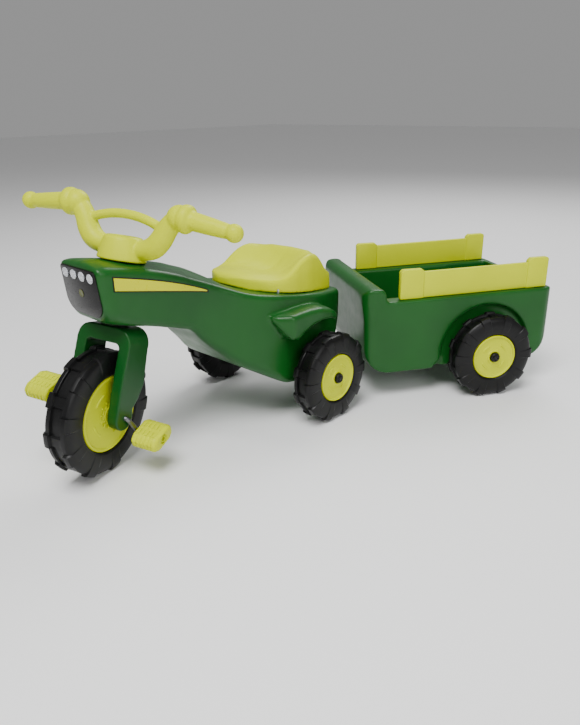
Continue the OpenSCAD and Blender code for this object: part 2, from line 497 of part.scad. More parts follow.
// ---------- hitch ----------
module hitch_pin() color([0.6, 0.61, 0.63]) place() translate([0, hitch_y, 0]) {
    translate([0, 0, tongue_z - 10]) cylinder(r = pin_r, h = lug_z + 28 - tongue_z);
}
module hitch_clip() color([0.5, 0.51, 0.53]) place() translate([0, hitch_y, tongue_z - 6]) difference() { cylinder(r = 10, h = 3); translate([0, 0, -1]) cylinder(r = pin_r + seat_gap, h = 5); }

// ---------- wagon ----------
// side outline of the tub, inset by t; the front corner and the tail are round
function tub_side(t) = concat(
    [for (k = [0:6]) [tub_y0 + 82 - (60 - t)*cos(90 - k*15) - 22, tub_z0 + 60 - (60 - t)*sin(90 - k*15)]],
    [[tub_y0 + t, ledge_z - 50], [tub_y0 - 4 + t, front_z - 24]],
    [for (k = [0:4]) [tub_y0 + 16 - (20 - t)*cos(k*22.5), front_z - 20 + (20 - t)*sin(k*22.5)]],
    [for (k = [0:4]) [tub_y0 + 30 + (17 - t)*sin(k*22.5), front_z - 17 + (17 - t)*cos(k*22.5)]],
    [[tub_y0 + 47 - t, ledge_z - t], [tub_y1 - 8 - t, ledge_z + 4 - t], [tub_y1 - t, ledge_z - 8], [tub_y1 - t, tub_z0 + 90]],
    [for (k = [1:6]) [tub_y1 - 75 + (75 - t)*cos(k*15), tub_z0 + 80 - (80 - t*1.0)*sin(k*15)]]);
module x_slab(hw, pts) translate([-hw, 0, 0]) rotate([90, 0, 90]) linear_extrude(2*hw) polygon(pts);
// plan view keeps the corners round
module plan(hw, t) translate([0, 0, tub_z0 - 10]) linear_extrude(300) polygon(concat(
    [for (k = [0:4]) [hw - 26 + (26 - t)*sin(k*22.5), tub_y0 - 4 + 26 - (26 - t)*cos(k*22.5)]],
    [for (k = [0:4]) [hw - 30 + (30 - t)*cos(k*22.5), tub_y1 - 30 + (30 - t)*sin(k*22.5)]],
    [for (k = [0:4]) [-hw + 30 - (30 - t)*sin(k*22.5), tub_y1 - 30 + (30 - t)*cos(k*22.5)]],
    [for (k = [0:4]) [-hw + 26 - (26 - t)*cos(k*22.5), tub_y0 - 4 + 26 - (26 - t)*sin(k*22.5)]]));
module load_space(t) translate([-cavity_x - t, 0, 0]) rotate([90, 0, 90]) linear_extrude(2*(cavity_x + t)) polygon([[tub_y0 + 50 - t, floor_z - t], [wagon_y - 26 + t, floor_z - t],
    [wagon_y - 18 + t, hump_z - t], [wagon_y + 18 - t, hump_z - t], [wagon_y + 26 - t, floor_z - t], [tub_y1 - 20 + t, floor_z - t], [tub_y1 - 20 + t, 400], [tub_y0 + 50 - t, 400]]);
module wagon_tub() color([0.13, 0.42, 0.16]) towed() difference() {
    intersection() { x_slab(tub_hw + 5, tub_side(0)); plan(tub_hw, 0); }
    // load space, with a tunnel over the axle
    load_space(0);
    // hollow double walls
    difference() {
        intersection() { x_slab(tub_hw - tub_wall, concat(tub_side(tub_wall))); plan(tub_hw, tub_wall); }
        load_space(tub_wall);
        for (s = [-1, 1]) wheel_at(s, 0, wagon_y) translate([0, 0, arch_x - tub_wall]) cylinder(r = arch_r + tub_wall, h = 100);
        for (p = bolt_at) translate([0, p, 0]) cylinder(r = 14, h = floor_z);
        lat(-tub_hw, tub_hw, wagon_y, rear_r, axle_r + 5);
        for (s = [-1, 1]) for (v = peg_y) translate([s*(stake_x + stake_t/2) - peg[0]/2 - 3, v - peg[0]/2 - 3, ledge_z - peg[2] - 3]) cube([peg[0] + 6, peg[0] + 6, 60]);
    }
    for (s = [-1, 1]) wheel_at(s, 0, wagon_y) translate([0, 0, arch_x]) cylinder(r = arch_r, h = 100);
    lat(-tub_hw, tub_hw, wagon_y, rear_r, axle_r + seat_gap);
    for (p = bolt_at) translate([0, p, tub_z0 - 10]) cylinder(r = 4 + seat_gap, h = 50);
    for (p = bolt_at) translate([0, p, floor_z - 4.6]) cylinder(r = 9, h = 20);
    // sockets for the stake boards' pegs
    for (s = [-1, 1]) for (v = peg_y) translate([s*(stake_x + stake_t/2) - peg[1]/2 - 0.4, v - peg[0]/2 - 0.4, ledge_z - peg[2] - 0.5]) cube([peg[1] + 0.8, peg[0] + 0.8, 60]);
}
peg_y = [stake_y0 + 40, stake_y0 + stake_len - 40];
bolt_at = [tub_y0 + 100, tub_y0 + 160];
function stake_base(y) = ledge_z + 0.6 + max(0, (y - tub_y0 - 47)/(tub_len - 55))*4;
module stake(s) color([0.87, 0.90, 0.16]) towed() left_right(s) translate([stake_x, 0, 0]) {
    difference() {
        rotate([90, 0, 90]) linear_extrude(stake_t) polygon([[stake_y0, stake_base(stake_y0)], [stake_y0 + stake_len, stake_base(stake_y0 + stake_len)],
            [stake_y0 + stake_len, ledge_z + stake_h + 3], [stake_y0 + stake_len - 4, ledge_z + stake_h + 6], [stake_y0 + stake_len - 46, ledge_z + stake_h + 6], [stake_y0 + stake_len - 52, ledge_z + stake_h - 3],
            [stake_y0 + 60, ledge_z + stake_h - 7], [stake_y0 + 53, ledge_z + stake_h], [stake_y0 + 5, ledge_z + stake_h], [stake_y0, ledge_z + stake_h - 5]]);
        // boards are thinner than the end posts on the outside
        translate([stake_t - 2, stake_y0 + 56, 0]) cube([5, stake_len - 106, 600]);
    }
    for (v = peg_y) translate([stake_t/2 - peg[1]/2, v - peg[0]/2, ledge_z - peg[2]]) cube([peg[1], peg[0], peg[2] + 10]);
}
module stake_left() stake(1);
module stake_right() stake(-1);
module wagon_tongue() color([0.10, 0.33, 0.13]) towed() difference() {
    union() {
        translate([-18, 0, 0]) rotate([90, 0, 90]) linear_extrude(36) polygon([[hitch_y, tongue_z], [hitch_y + 40, tongue_z], [hitch_y + 70, tub_z0 - 14], [tub_y0 + 190, tub_z0 - 14], [tub_y0 + 190, tub_z0 - seat_gap],
            [hitch_y + 74, tub_z0 - seat_gap], [hitch_y + 44, tongue_z + tongue_t], [hitch_y, tongue_z + tongue_t]]);
        translate([0, hitch_y, tongue_z]) cylinder(r = 18, h = tongue_t);
    }
    translate([0, hitch_y, tongue_z - 5]) cylinder(r = pin_r + run_gap, h = 40);
    for (p = bolt_at) translate([0, p, tub_z0 - 30]) cylinder(r = 4 + seat_gap, h = 50);
}
module tongue_bolts() color([0.75, 0.76, 0.78]) towed() for (p = bolt_at) translate([0, p, 0]) {
    translate([0, 0, tub_z0 - 18]) cylinder(r = 4, h = floor_z - tub_z0 + 15);
    translate([0, 0, tub_z0 - 19]) cylinder(r = 7.5, h = 5 - seat_gap, $fn = 6);
    translate([0, 0, floor_z - 4.5]) cylinder(r = 8.5, h = 4);
}

body_shell();
grille_panel();
headlamps();
front_badge();
stripe_border_left();
stripe_border_right();
stripe_field_left();
stripe_field_right();
seat();
seat_screws();
bush_upper();
bush_lower();
rear_axle();
rear_spacers();
hitch_pin();
hitch_clip();
fork();
steering_stem();
handlebar();
stem_bolt();
axle_bushes();
front_tyre();
front_disc_left();
front_disc_right();
crank_rod();
pedal_left();
pedal_right();
pedal_cap_left();
pedal_cap_right();
rear_tyre_left();
rear_tyre_right();
rear_disc_left();
rear_disc_right();
rear_cap_left();
rear_cap_right();
wagon_tub();
wagon_tongue();
tongue_bolts();
wagon_axle();
wagon_spacers();
stake_left();
stake_right();
wagon_tyre_left();
wagon_tyre_right();
wagon_disc_left();
wagon_disc_right();
wagon_cap_left();
wagon_cap_right();
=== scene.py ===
"""Ride-on pedal tricycle with a towed wagon: the moulded parts, wheels and finishes."""

import json
import math

import bmesh
import bpy
from mathutils import Matrix, Vector


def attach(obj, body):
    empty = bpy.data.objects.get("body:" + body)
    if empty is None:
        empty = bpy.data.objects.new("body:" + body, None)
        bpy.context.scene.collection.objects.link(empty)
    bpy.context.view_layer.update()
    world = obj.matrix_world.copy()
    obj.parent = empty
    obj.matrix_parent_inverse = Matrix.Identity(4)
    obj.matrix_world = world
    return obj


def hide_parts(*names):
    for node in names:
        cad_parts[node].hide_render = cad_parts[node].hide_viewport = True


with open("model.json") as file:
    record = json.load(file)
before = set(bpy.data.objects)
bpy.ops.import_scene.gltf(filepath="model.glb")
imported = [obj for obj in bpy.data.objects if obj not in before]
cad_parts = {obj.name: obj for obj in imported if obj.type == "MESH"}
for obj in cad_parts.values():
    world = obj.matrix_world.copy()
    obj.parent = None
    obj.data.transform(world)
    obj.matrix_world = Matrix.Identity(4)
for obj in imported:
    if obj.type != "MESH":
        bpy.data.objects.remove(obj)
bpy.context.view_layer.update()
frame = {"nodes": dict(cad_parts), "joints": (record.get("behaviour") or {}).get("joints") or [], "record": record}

MM = 0.001


# ---------- frames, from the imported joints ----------
def joint(name):
    return next(j for j in frame["joints"] if j["name"] == name)


def axes(origin, across, up):
    """Millimetres in a local frame to metres in the row: X runs across, Z up, Y is square to both."""
    x, z = Vector(across).normalized(), Vector(up).normalized()
    y = z.cross(x)
    turn = Matrix((x, y, z)).transposed().to_4x4()
    return Matrix.Translation(Vector(origin)) @ turn @ Matrix.Scale(MM, 4)


def at(base, x=0.0, y=0.0, z=0.0):
    """A frame moved along its own axes."""
    return base @ Matrix.Translation((x, y, z))


AXLE_Y, AXLE_Z = 461.5, 97.5
HITCH_Y = 583.5
rear_hub = Vector(joint("rear_left_spin")["pos_m"])
TRIKE = axes(rear_hub - Vector((0, AXLE_Y, AXLE_Z)) * MM, (1, 0, 0), (0, 0, 1))
wheel_axis = joint("front_wheel_spin")["axis"]
STEER = axes(joint("steer")["pos_m"], wheel_axis, joint("steer")["axis"])
wagon_axis = joint("wagon_left_spin")["axis"]
hitch = Vector(joint("hitch_yaw")["pos_m"])
hitch.z = 0
wagon_turn = axes((0, 0, 0), wagon_axis, (0, 0, 1))
WAGON = Matrix.Translation(hitch) @ at(wagon_turn, 0, -HITCH_Y, 0)
FORK_OFF = 19.7
# a wheel is drawn with its axle along Z and its outer face up
front_hub = Vector(joint("front_wheel_spin")["pos_m"])
FRONT_WHEEL = axes(front_hub, joint("steer")["axis"], wheel_axis)


def side_wheel(base, side, face, y):
    """Frame of a side wheel: origin at its outer face, Z outwards."""
    turn = Matrix.Rotation(side * math.pi / 2, 4, "Y")
    return at(base, side * face, y, AXLE_Z) @ turn


# ---------- shaping ----------
def clear():
    if bpy.context.object and bpy.context.object.mode != "OBJECT":
        bpy.ops.object.mode_set(mode="OBJECT")
    bpy.ops.object.select_all(action="DESELECT")


def pick(*pieces):
    clear()
    for p in pieces:
        p.select_set(True)
    bpy.context.view_layer.objects.active = pieces[0]
    return pieces[0]


def apply_all(ob):
    pick(ob)
    for m in list(ob.modifiers):
        bpy.ops.object.modifier_apply(modifier=m.name)


def outward(ob, merge=0.001):
    """Merges doubles and turns the faces outwards."""
    pick(ob)
    bpy.ops.object.mode_set(mode="EDIT")
    bpy.ops.mesh.select_all(action="SELECT")
    bpy.ops.mesh.remove_doubles(threshold=merge)
    bpy.ops.mesh.normals_make_consistent(inside=False)
    bpy.ops.object.mode_set(mode="OBJECT")
    return ob


def loft(name, rings, ends=True):
    """A skin that is extruded from ring to ring and closed at both ends."""
    count = len(rings[0])
    clear()
    bpy.ops.mesh.primitive_circle_add(vertices=count, radius=1)
    ob = bpy.context.object
    ob.name = ob.data.name = name
    bpy.ops.object.mode_set(mode="EDIT")
    bpy.ops.mesh.select_mode(type="VERT")
    bpy.ops.mesh.select_all(action="SELECT")
    bm = bmesh.from_edit_mesh(ob.data)
    bm.verts.ensure_lookup_table()
    for v, p in zip(bm.verts, rings[0]):
        v.co = p
    spot = {v.index: v.index for v in bm.verts}
    for ring in rings[1:]:
        bpy.ops.mesh.extrude_region_move()
        bm = bmesh.from_edit_mesh(ob.data)
        bm.verts.index_update()
        fresh = {}
        for v in bm.verts:
            if v.select:
                old = next(e.other_vert(v) for e in v.link_edges if not e.other_vert(v).select)
                fresh[v.index] = spot[old.index]
                v.co = ring[fresh[v.index]]
        spot = fresh
    if ends:
        bpy.ops.mesh.edge_face_add()
        bpy.ops.mesh.select_all(action="DESELECT")
        bm = bmesh.from_edit_mesh(ob.data)
        bm.verts.ensure_lookup_table()
        for i in range(count):
            bm.verts[i].select = True
        bm.select_flush(True)
        bpy.ops.mesh.edge_face_add()
    bpy.ops.mesh.select_all(action="SELECT")
    bpy.ops.mesh.normals_make_consistent(inside=False)
    bpy.ops.object.mode_set(mode="OBJECT")
    return ob


def plate(name, outline, lift, flat="xz", start=0.0):
    """An outline given thickness: drawn in one plane and extruded along the third axis."""
    turn = {
        "xz": lambda a, b, h: (a, h, b),
        "yz": lambda a, b, h: (h, a, b),
        "xy": lambda a, b, h: (a, b, h),
    }[flat]
    return loft(name, [[turn(a, b, h) for a, b in outline] for h in (start, start + lift)])


def turned(name, profile, steps=96):
    """A closed profile of (radius, height) spun about Z."""
    rings = []
    for k in range(steps):
        c, s = math.cos(2 * math.pi * k / steps), math.sin(2 * math.pi * k / steps)
        rings.append([(r * c, r * s, h) for r, h in profile])
    return outward(loft(name, rings + rings[:1], ends=False), 0.01)


def around(ob, repeats):
    """Copies one sector round Z and joins the copies into a closed piece."""
    copies = [ob]
    for k in range(1, repeats):
        twin = ob.copy()
        twin.data = ob.data.copy()
        bpy.context.collection.objects.link(twin)
        twin.data.transform(Matrix.Rotation(2 * math.pi * k / repeats, 4, "Z"))
        copies.append(twin)
    pick(*copies)
    bpy.ops.object.join()
    return outward(ob, 0.02)


def tube(name, path, radii, sides=24, squash=1.0):
    """Rings square to a path, each with its own radius."""
    pts = [Vector(p) for p in path]
    rings, across = [], None
    for i, p in enumerate(pts):
        ahead = (pts[min(i + 1, len(pts) - 1)] - pts[max(i - 1, 0)]).normalized()
        if across is None:
            across = ahead.orthogonal().normalized()
        across = (across - ahead * across.dot(ahead)).normalized()
        over = ahead.cross(across)
        r = radii[i] if isinstance(radii, (list, tuple)) else radii
        ring = []
        for k in range(sides):
            a = 2 * math.pi * k / sides
            ring.append(tuple(p + across * (r * math.cos(a)) + over * (r * squash * math.sin(a))))
        rings.append(ring)
    return loft(name, rings)


def smooth_path(points, cuts=6):
    """Extra points on a smooth curve through the given ones; works for any number of columns."""
    out = []
    for i in range(len(points) - 1):
        p0, p1 = points[max(i - 1, 0)], points[i]
        p2, p3 = points[i + 1], points[min(i + 2, len(points) - 1)]
        for k in range(cuts):
            t = k / cuts
            out.append(tuple(
                0.5 * (2 * b + (c - a) * t + (2 * a - 5 * b + 4 * c - d) * t * t
                       + (3 * b - a - 3 * c + d) * t ** 3)
                for a, b, c, d in zip(p0, p1, p2, p3)))
    return out + [tuple(points[-1])]


def ball(name, centre, radius, segments=32):
    clear()
    bpy.ops.mesh.primitive_uv_sphere_add(
        segments=segments, ring_count=segments // 2, radius=radius, location=centre)
    ob = bpy.context.object
    ob.name = ob.data.name = name
    bpy.ops.object.transform_apply(location=True)
    return ob


def block(name, lo, hi, soft=0.0, cuts=3):
    """A box between two corners with rounded edges."""
    clear()
    mid = [(a + b) / 2 for a, b in zip(lo, hi)]
    bpy.ops.mesh.primitive_cube_add(size=1, location=mid)
    ob = bpy.context.object
    ob.name = ob.data.name = name
    ob.scale = [b - a for a, b in zip(lo, hi)]
    bpy.ops.object.transform_apply(location=True, scale=True)
    if soft:
        bpy.ops.object.mode_set(mode="EDIT")
        bpy.ops.mesh.select_all(action="SELECT")
        bpy.ops.mesh.bevel(offset=soft, segments=cuts, affect="EDGES")
        bpy.ops.object.mode_set(mode="OBJECT")
    return ob


def combine(ob, tool, operation="DIFFERENCE"):
    m = ob.modifiers.new("combine", "BOOLEAN")
    m.operation, m.solver, m.object = operation, "EXACT", tool
    apply_all(ob)
    bpy.data.objects.remove(tool)
    return ob


def join(name, *pieces):
    ob = pick(*pieces)
    if len(pieces) > 1:
        bpy.ops.object.join()
    ob.name = ob.data.name = name
    return ob


def melt(ob, voxel, rounds, factor=0.5):
    """Fuses overlapping shells into one skin and rounds its edges, as blow moulding does."""
    m = ob.modifiers.new("fuse", "REMESH")
    m.mode, m.voxel_size, m.adaptivity = "VOXEL", voxel, 0.0
    s = ob.modifiers.new("round", "SMOOTH")
    s.factor, s.iterations = factor, rounds
    apply_all(ob)
    return ob


def bevel(ob, width, segments=3, angle=35):
    m = ob.modifiers.new("edges", "BEVEL")
    m.width, m.segments, m.limit_method = width, segments, "ANGLE"
    m.angle_limit = math.radians(angle)
    m.harden_normals = False
    apply_all(ob)
    return ob


def settle(ob, base, body, slot, *nodes, finish=None, crease=30):
    """Puts a finished piece into the row frame and hands it to its body."""
    pick(ob)
    ob.matrix_world = base @ ob.matrix_world
    bpy.ops.object.transform_apply(location=True, rotation=True, scale=True)
    if base.determinant() < 0:
        bpy.ops.object.mode_set(mode="EDIT")
        bpy.ops.mesh.select_all(action="SELECT")
        bpy.ops.mesh.normals_make_consistent(inside=False)
        bpy.ops.object.mode_set(mode="OBJECT")
    bpy.ops.object.shade_smooth_by_angle(angle=math.radians(crease))
    ob.data.materials.clear()
    ob.data.materials.append(finish or finishes[slot])
    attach(ob, body)
    if nodes:
        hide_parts(*nodes)
    return ob


def twin_of(ob, name):
    twin = ob.copy()
    twin.data = ob.data.copy()
    twin.name = twin.data.name = name
    bpy.context.collection.objects.link(twin)
    return twin


def arc(cx, cy, r, a0, a1, n):
    """Points on a circle's arc from a0 to a1 degrees."""
    return [(cx + r * math.cos(math.radians(a0 + (a1 - a0) * k / n)),
             cy + r * math.sin(math.radians(a0 + (a1 - a0) * k / n))) for k in range(n + 1)]


def step(x, lo, hi):
    """0 below lo, 1 above hi, smooth between."""
    t = min(max((x - lo) / (hi - lo), 0.0), 1.0)
    return t * t * (3 - 2 * t)


# ---------- finishes ----------
class Finish:
    """A material and its node tree, with the coordinates of the piece itself."""

    def __init__(self, name, color, rough=0.5, metal=0.0, **sockets):
        self.mat = bpy.data.materials.new(name)
        self.mat.use_nodes = True
        self.tree = self.mat.node_tree
        self.skin = self.tree.nodes["Principled BSDF"]
        self.skin.inputs["Base Color"].default_value = (*color, 1)
        self.skin.inputs["Roughness"].default_value = rough
        self.skin.inputs["Metallic"].default_value = metal
        for key, value in sockets.items():
            self.skin.inputs[key.replace("_", " ")].default_value = value
        self.coords = self.tree.nodes.new("ShaderNodeTexCoord").outputs["Object"]

    def node(self, kind, **values):
        n = self.tree.nodes.new("ShaderNode" + kind)
        for key, value in values.items():
            if isinstance(value, bpy.types.NodeSocket):
                self.tree.links.new(value, n.inputs[key])
            elif key in n.inputs and not hasattr(n, key):
                n.inputs[key].default_value = value
            else:
                setattr(n, key, value)
        return n

    def link(self, a, b):
        self.tree.links.new(a, b)

    def noise(self, scale, detail=3.0, rough=0.5, vector=None):
        n = self.node("TexNoise", Scale=scale, Detail=detail, Roughness=rough)
        self.link(vector or self.coords, n.inputs["Vector"])
        return n.outputs["Fac"]

    def ramp(self, value, stops):
        """stops: (position, colour or grey)"""
        n = self.tree.nodes.new("ShaderNodeValToRGB")
        self.link(value, n.inputs["Fac"])
        while len(n.color_ramp.elements) < len(stops):
            n.color_ramp.elements.new(0.5)
        for e, (pos, c) in zip(n.color_ramp.elements, stops):
            e.position = pos
            e.color = (c, c, c, 1) if isinstance(c, (int, float)) else (*c, 1)
        return n.outputs["Color"]

    def calc(self, operation, a, b=0.0, c=0.0):
        n = self.tree.nodes.new("ShaderNodeMath")
        n.operation = operation
        for i, v in enumerate((a, b, c)):
            if isinstance(v, bpy.types.NodeSocket):
                self.link(v, n.inputs[i])
            else:
                n.inputs[i].default_value = v
        return n.outputs[0]

    def mix(self, fac, a, b):
        n = self.tree.nodes.new("ShaderNodeMix")
        n.data_type = "RGBA"
        for i, v in ((0, fac), (6, a), (7, b)):
            if isinstance(v, bpy.types.NodeSocket):
                self.link(v, n.inputs[i])
            elif i:
                n.inputs[i].default_value = (*v, 1)
            else:
                n.inputs[i].default_value = v
        return n.outputs[2]

    def color(self, socket):
        self.link(socket, self.skin.inputs["Base Color"])

    def rough(self, socket):
        self.link(socket, self.skin.inputs["Roughness"])

    def bump(self, *layers):
        """layers: (height, strength, distance in metres)"""
        last = None
        for height, strength, distance in layers:
            n = self.node("Bump", Strength=strength, Distance=distance)
            self.link(height, n.inputs["Height"])
            if last:
                self.link(last, n.inputs["Normal"])
            last = n.outputs["Normal"]
        self.link(last, self.skin.inputs["Normal"])


def moulded(name, color, rough=0.36, shift=0.12, shine=0.4):
    """Blow-moulded polyethylene: faint flow marks, orange peel and hairline scuffs."""
    f = Finish(name, color, rough, Specular_IOR_Level=shine)
    flow = f.noise(7, 3, 0.55)
    darker = tuple(c * (1 - shift) for c in color)
    lighter = tuple(min(c * (1 + shift), 1) for c in color)
    tone = f.mix(f.ramp(flow, [(0.3, 0.0), (0.7, 1.0)]), darker, lighter)
    speck = f.ramp(f.noise(420, 2, 0.6), [(0.62, 0.0), (0.72, 1.0)])
    f.color(f.mix(f.calc("MULTIPLY", speck, 0.10), tone, tuple(min(c * 1.5 + 0.008, 1) for c in color)))
    scuff = f.ramp(f.noise(38, 6, 0.62), [(0.40, rough - 0.03), (0.80, rough + 0.09)])
    f.rough(scuff)
    waves, peel, grain = f.noise(18, 2, 0.4), f.noise(520, 2, 0.5), f.noise(1500, 1, 0.5)
    f.bump((waves, 0.05, 0.0010), (peel, 0.12, 0.00016), (grain, 0.08, 0.00008))
    return f.mat


def tyre_skin(name):
    """Blow-moulded black tread: matt, grainy, with patches of pale dust."""
    f = Finish(name, (0.004, 0.004, 0.0042), 0.4, Specular_IOR_Level=0.24)
    grain = f.noise(900, 2, 0.6)
    patch = f.noise(14, 4, 0.6)
    f.color(f.mix(f.ramp(patch, [(0.35, 0.0), (0.8, 1.0)]), (0.0025, 0.0025, 0.0026), (0.006, 0.006, 0.0062)))
    f.rough(f.ramp(patch, [(0.3, 0.32), (0.75, 0.47)]))
    f.bump((f.noise(45, 3, 0.5), 0.15, 0.0010), (grain, 0.22, 0.00016))
    return f.mat


def black_moulding(name):
    """Black plastic and film: grain with duller patches."""
    f = Finish(name, (0.004, 0.004, 0.0042), 0.34, Specular_IOR_Level=0.3)
    f.rough(f.ramp(f.noise(60, 4, 0.6), [(0.3, 0.34), (0.75, 0.55)]))
    f.bump((f.noise(1100, 2, 0.5), 0.18, 0.0001))
    return f.mat


def zinc(name, color, rough):
    """Plated steel rod: blotches of plating and patchy roughness."""
    f = Finish(name, color, rough, 1.0)
    blotch = f.noise(120, 5, 0.65)
    f.color(f.mix(f.ramp(blotch, [(0.35, 0.0), (0.7, 1.0)]), tuple(c * 0.72 for c in color), color))
    f.rough(f.ramp(f.noise(300, 3, 0.6), [(0.3, rough - 0.08), (0.7, rough + 0.12)]))
    f.bump((f.noise(1400, 2, 0.6), 0.15, 0.00008))
    return f.mat


def height_in(f, low, high):
    """0 at one height of the row frame, 1 at another."""
    z = f.node("SeparateXYZ", Vector=f.coords).outputs["Z"]
    n = f.node("MapRange", Value=z)
    n.inputs["From Min"].default_value = low
    n.inputs["From Max"].default_value = high
    return n.outputs["Result"]


def grille_print(name):
    """Printed panel: black, fading to grey at the chin, with fine level slats."""
    f = Finish(name, (0.004, 0.004, 0.0045), 0.2, Specular_IOR_Level=0.22)
    z = f.node("SeparateXYZ", Vector=f.coords).outputs["Z"]
    slat_pitch = 0.0052
    slat = f.calc("SINE", f.calc("MULTIPLY", z, 2 * math.pi / slat_pitch))
    slats = f.ramp(slat, [(0.55, 0.0), (0.95, 1.0)])
    brow, chin = 0.392, 0.300
    shades = [(0.55, (0.002, 0.002, 0.0022)), (0.9, (0.010, 0.009, 0.009)), (1.0, (0.05, 0.048, 0.045))]
    fade = f.ramp(height_in(f, brow, chin), shades)
    f.color(f.mix(f.calc("MULTIPLY", slats, 0.16), fade, (0.035, 0.03, 0.028)))
    f.rough(f.ramp(f.noise(200, 3, 0.5), [(0.3, 0.16), (0.7, 0.30)]))
    f.bump((slats, 0.12, 0.0002))
    return f.mat


def lamp_print(name):
    """Lamp faces: cool grey print of small facets under clear film."""
    f = Finish(name, (0.55, 0.57, 0.6), 0.22, Specular_IOR_Level=0.5, Coat_Weight=0.5)
    cells = f.node("TexVoronoi", Scale=520.0)
    f.link(f.coords, cells.inputs["Vector"])
    greys = [(0.15, (0.82, 0.84, 0.87)), (0.55, (0.52, 0.54, 0.58)), (0.9, (0.30, 0.31, 0.34))]
    f.color(f.ramp(cells.outputs["Distance"], greys))
    f.bump((cells.outputs["Distance"], 0.25, 0.0003))
    return f.mat


def yellow_film(name):
    """Printed side stripe: yellow with a fine slanting hatch."""
    f = Finish(name, (0.62, 0.60, 0.002), 0.34, Specular_IOR_Level=0.2)
    parts = f.node("SeparateXYZ", Vector=f.coords)
    y, z = parts.outputs["Y"], parts.outputs["Z"]
    slant = f.calc("ADD", f.calc("MULTIPLY", y, 1.0), f.calc("MULTIPLY", z, 1.2))
    hatch_pitch = 0.0034
    wave = f.calc("SINE", f.calc("MULTIPLY", slant, 2 * math.pi / hatch_pitch))
    hatch = f.ramp(wave, [(0.2, 0.0), (0.9, 1.0)])
    f.color(f.mix(f.calc("MULTIPLY", hatch, 0.35), (0.60, 0.62, 0.002), (0.44, 0.44, 0.002)))
    f.rough(f.ramp(f.noise(90, 4, 0.6), [(0.3, 0.24), (0.7, 0.38)]))
    f.bump((f.noise(700, 2, 0.5), 0.05, 0.00006))
    return f.mat


GREEN = (0.006, 0.078, 0.009)
DEEP_GREEN = (0.004, 0.060, 0.008)
YELLOW = (0.56, 0.62, 0.0)
finishes = {
    "green_plastic": moulded("moulded green", GREEN, 0.33, 0.12, 0.28),
    "dark_green_plastic": moulded("moulded deep green", DEEP_GREEN, 0.31, 0.12, 0.28),
    "yellow_plastic": moulded("moulded yellow", YELLOW, 0.42, 0.04, 0.16),
    "black_plastic": black_moulding("moulded black"),
    "tyre_black": tyre_skin("tread black"),
    "crank_steel": zinc("plated rod", (0.20, 0.205, 0.215), 0.36),
    "bolt_steel": zinc("plated steel", (0.62, 0.63, 0.65), 0.3),
    "lamp_grey": lamp_print("lamp print"),
    "grille_black": grille_print("grille print"),
    "badge_grey": moulded("badge print", (0.10, 0.11, 0.03), 0.4),
    "decal_yellow": yellow_film("stripe yellow film"),
    "decal_black": black_moulding("stripe black film"),
}

# CAD nodes that keep their own shape get these finishes too
slot_of = {p["node"]: p["material_slot"] for p in frame["record"]["subparts"]}
for node, ob in frame["nodes"].items():
    ob.data.materials.clear()
    ob.data.materials.append(finishes[slot_of[node]])


# ---------- body ----------
NOSE, TOP = 66, 402
# the chin lies LEAN behind the brow, over a drop of LEAN_DROP
LEAN, LEAN_DROP, LEAN_FROM = 9, 92, TOP - 10
# y, half width top, half width bottom, top, bottom, radius top, radius bottom, crown
BODY = [
    (0, NOSE - 8, NOSE - 8, TOP - 4, TOP - 97, 12, 30, 3),
    (3, NOSE - 4, NOSE - 4, TOP + 0.5, TOP - 102, 12, 30, 4),
    (10, NOSE - 1, NOSE - 1, TOP + 2.5, TOP - 106, 14, 26, 5),
    (24, NOSE, NOSE, TOP + 2, TOP - 110, 14, 22, 5),
    (60, NOSE, NOSE - 4, TOP - 4, TOP - 119, 14, 18, 6),
    (110, NOSE, NOSE - 3, TOP - 14, TOP - 132, 14, 16, 8),
    (165, NOSE + 2, NOSE, TOP - 28, TOP - 150, 14, 16, 12),
    (192, NOSE + 3, NOSE, TOP - 38, TOP - 161, 14, 16, 14),
    (218, NOSE + 6, NOSE + 1, TOP - 48, TOP - 190, 14, 16, 15),
    (246, 80, 78, TOP - 62, TOP - 218, 14, 18, 14),
    (280, 96, 100, TOP - 84, 151, 12, 20, 8),
    (312, 107, 114, TOP - 100, 130, 10, 20, 4),
    (345, 115, 124, 293, 110, 10, 20, 3),
    (378, 119, 131, 287, 91, 10, 16, 3),
    (400, 119, 131, 283, 85, 10, 16, 3),
    (432, 119, 129, 277, 80, 10, 18, 3),
    (500, 115, 125, 266, 81, 10, 24, 3),
    (560, 100, 104, 257, 106, 10, 32, 3),
    (596, 87, 86, 251, 148, 12, 34, 3),
    (604, 80, 78, 248, 156, 12, 34, 3),
]


def lean(y, z):
    """The nose slopes back towards the chin; the slope dies out behind it."""
    return max(LEAN_FROM - z, 0) / LEAN_DROP * LEAN * (1 - step(y, 10, 70))


def body_ring(station):
    """Section of the body: rounded bottom corners, leaning sides and a crowned top."""
    y, ht, hb, zt, zb, rt, rb, crown = station
    side = arc(hb - rb, zb + rb, rb, -90, 0, 6)
    side += [(hb + (ht - hb) * k / 4, zb + rb + (zt - crown - rt - zb - rb) * k / 4) for k in (1, 2, 3)]
    side += arc(ht - rt, zt - crown - rt, rt, 0, 90, 6)
    side += [((ht - rt) * 0.5, zt - crown * 0.25)]
    left = [(-x, z) for x, z in reversed(side)]
    return [(x, y + lean(y, z), z) for x, z in side + [(0, zt)] + left + [(0, zb)]]


FENDER_X, LIP_R = 160, 121.5


def lip(y, r=LIP_R):
    """Height of the fender's lip, an arc about the rear axle."""
    return AXLE_Z + math.sqrt(max(r * r - (y - AXLE_Y) ** 2, 1))


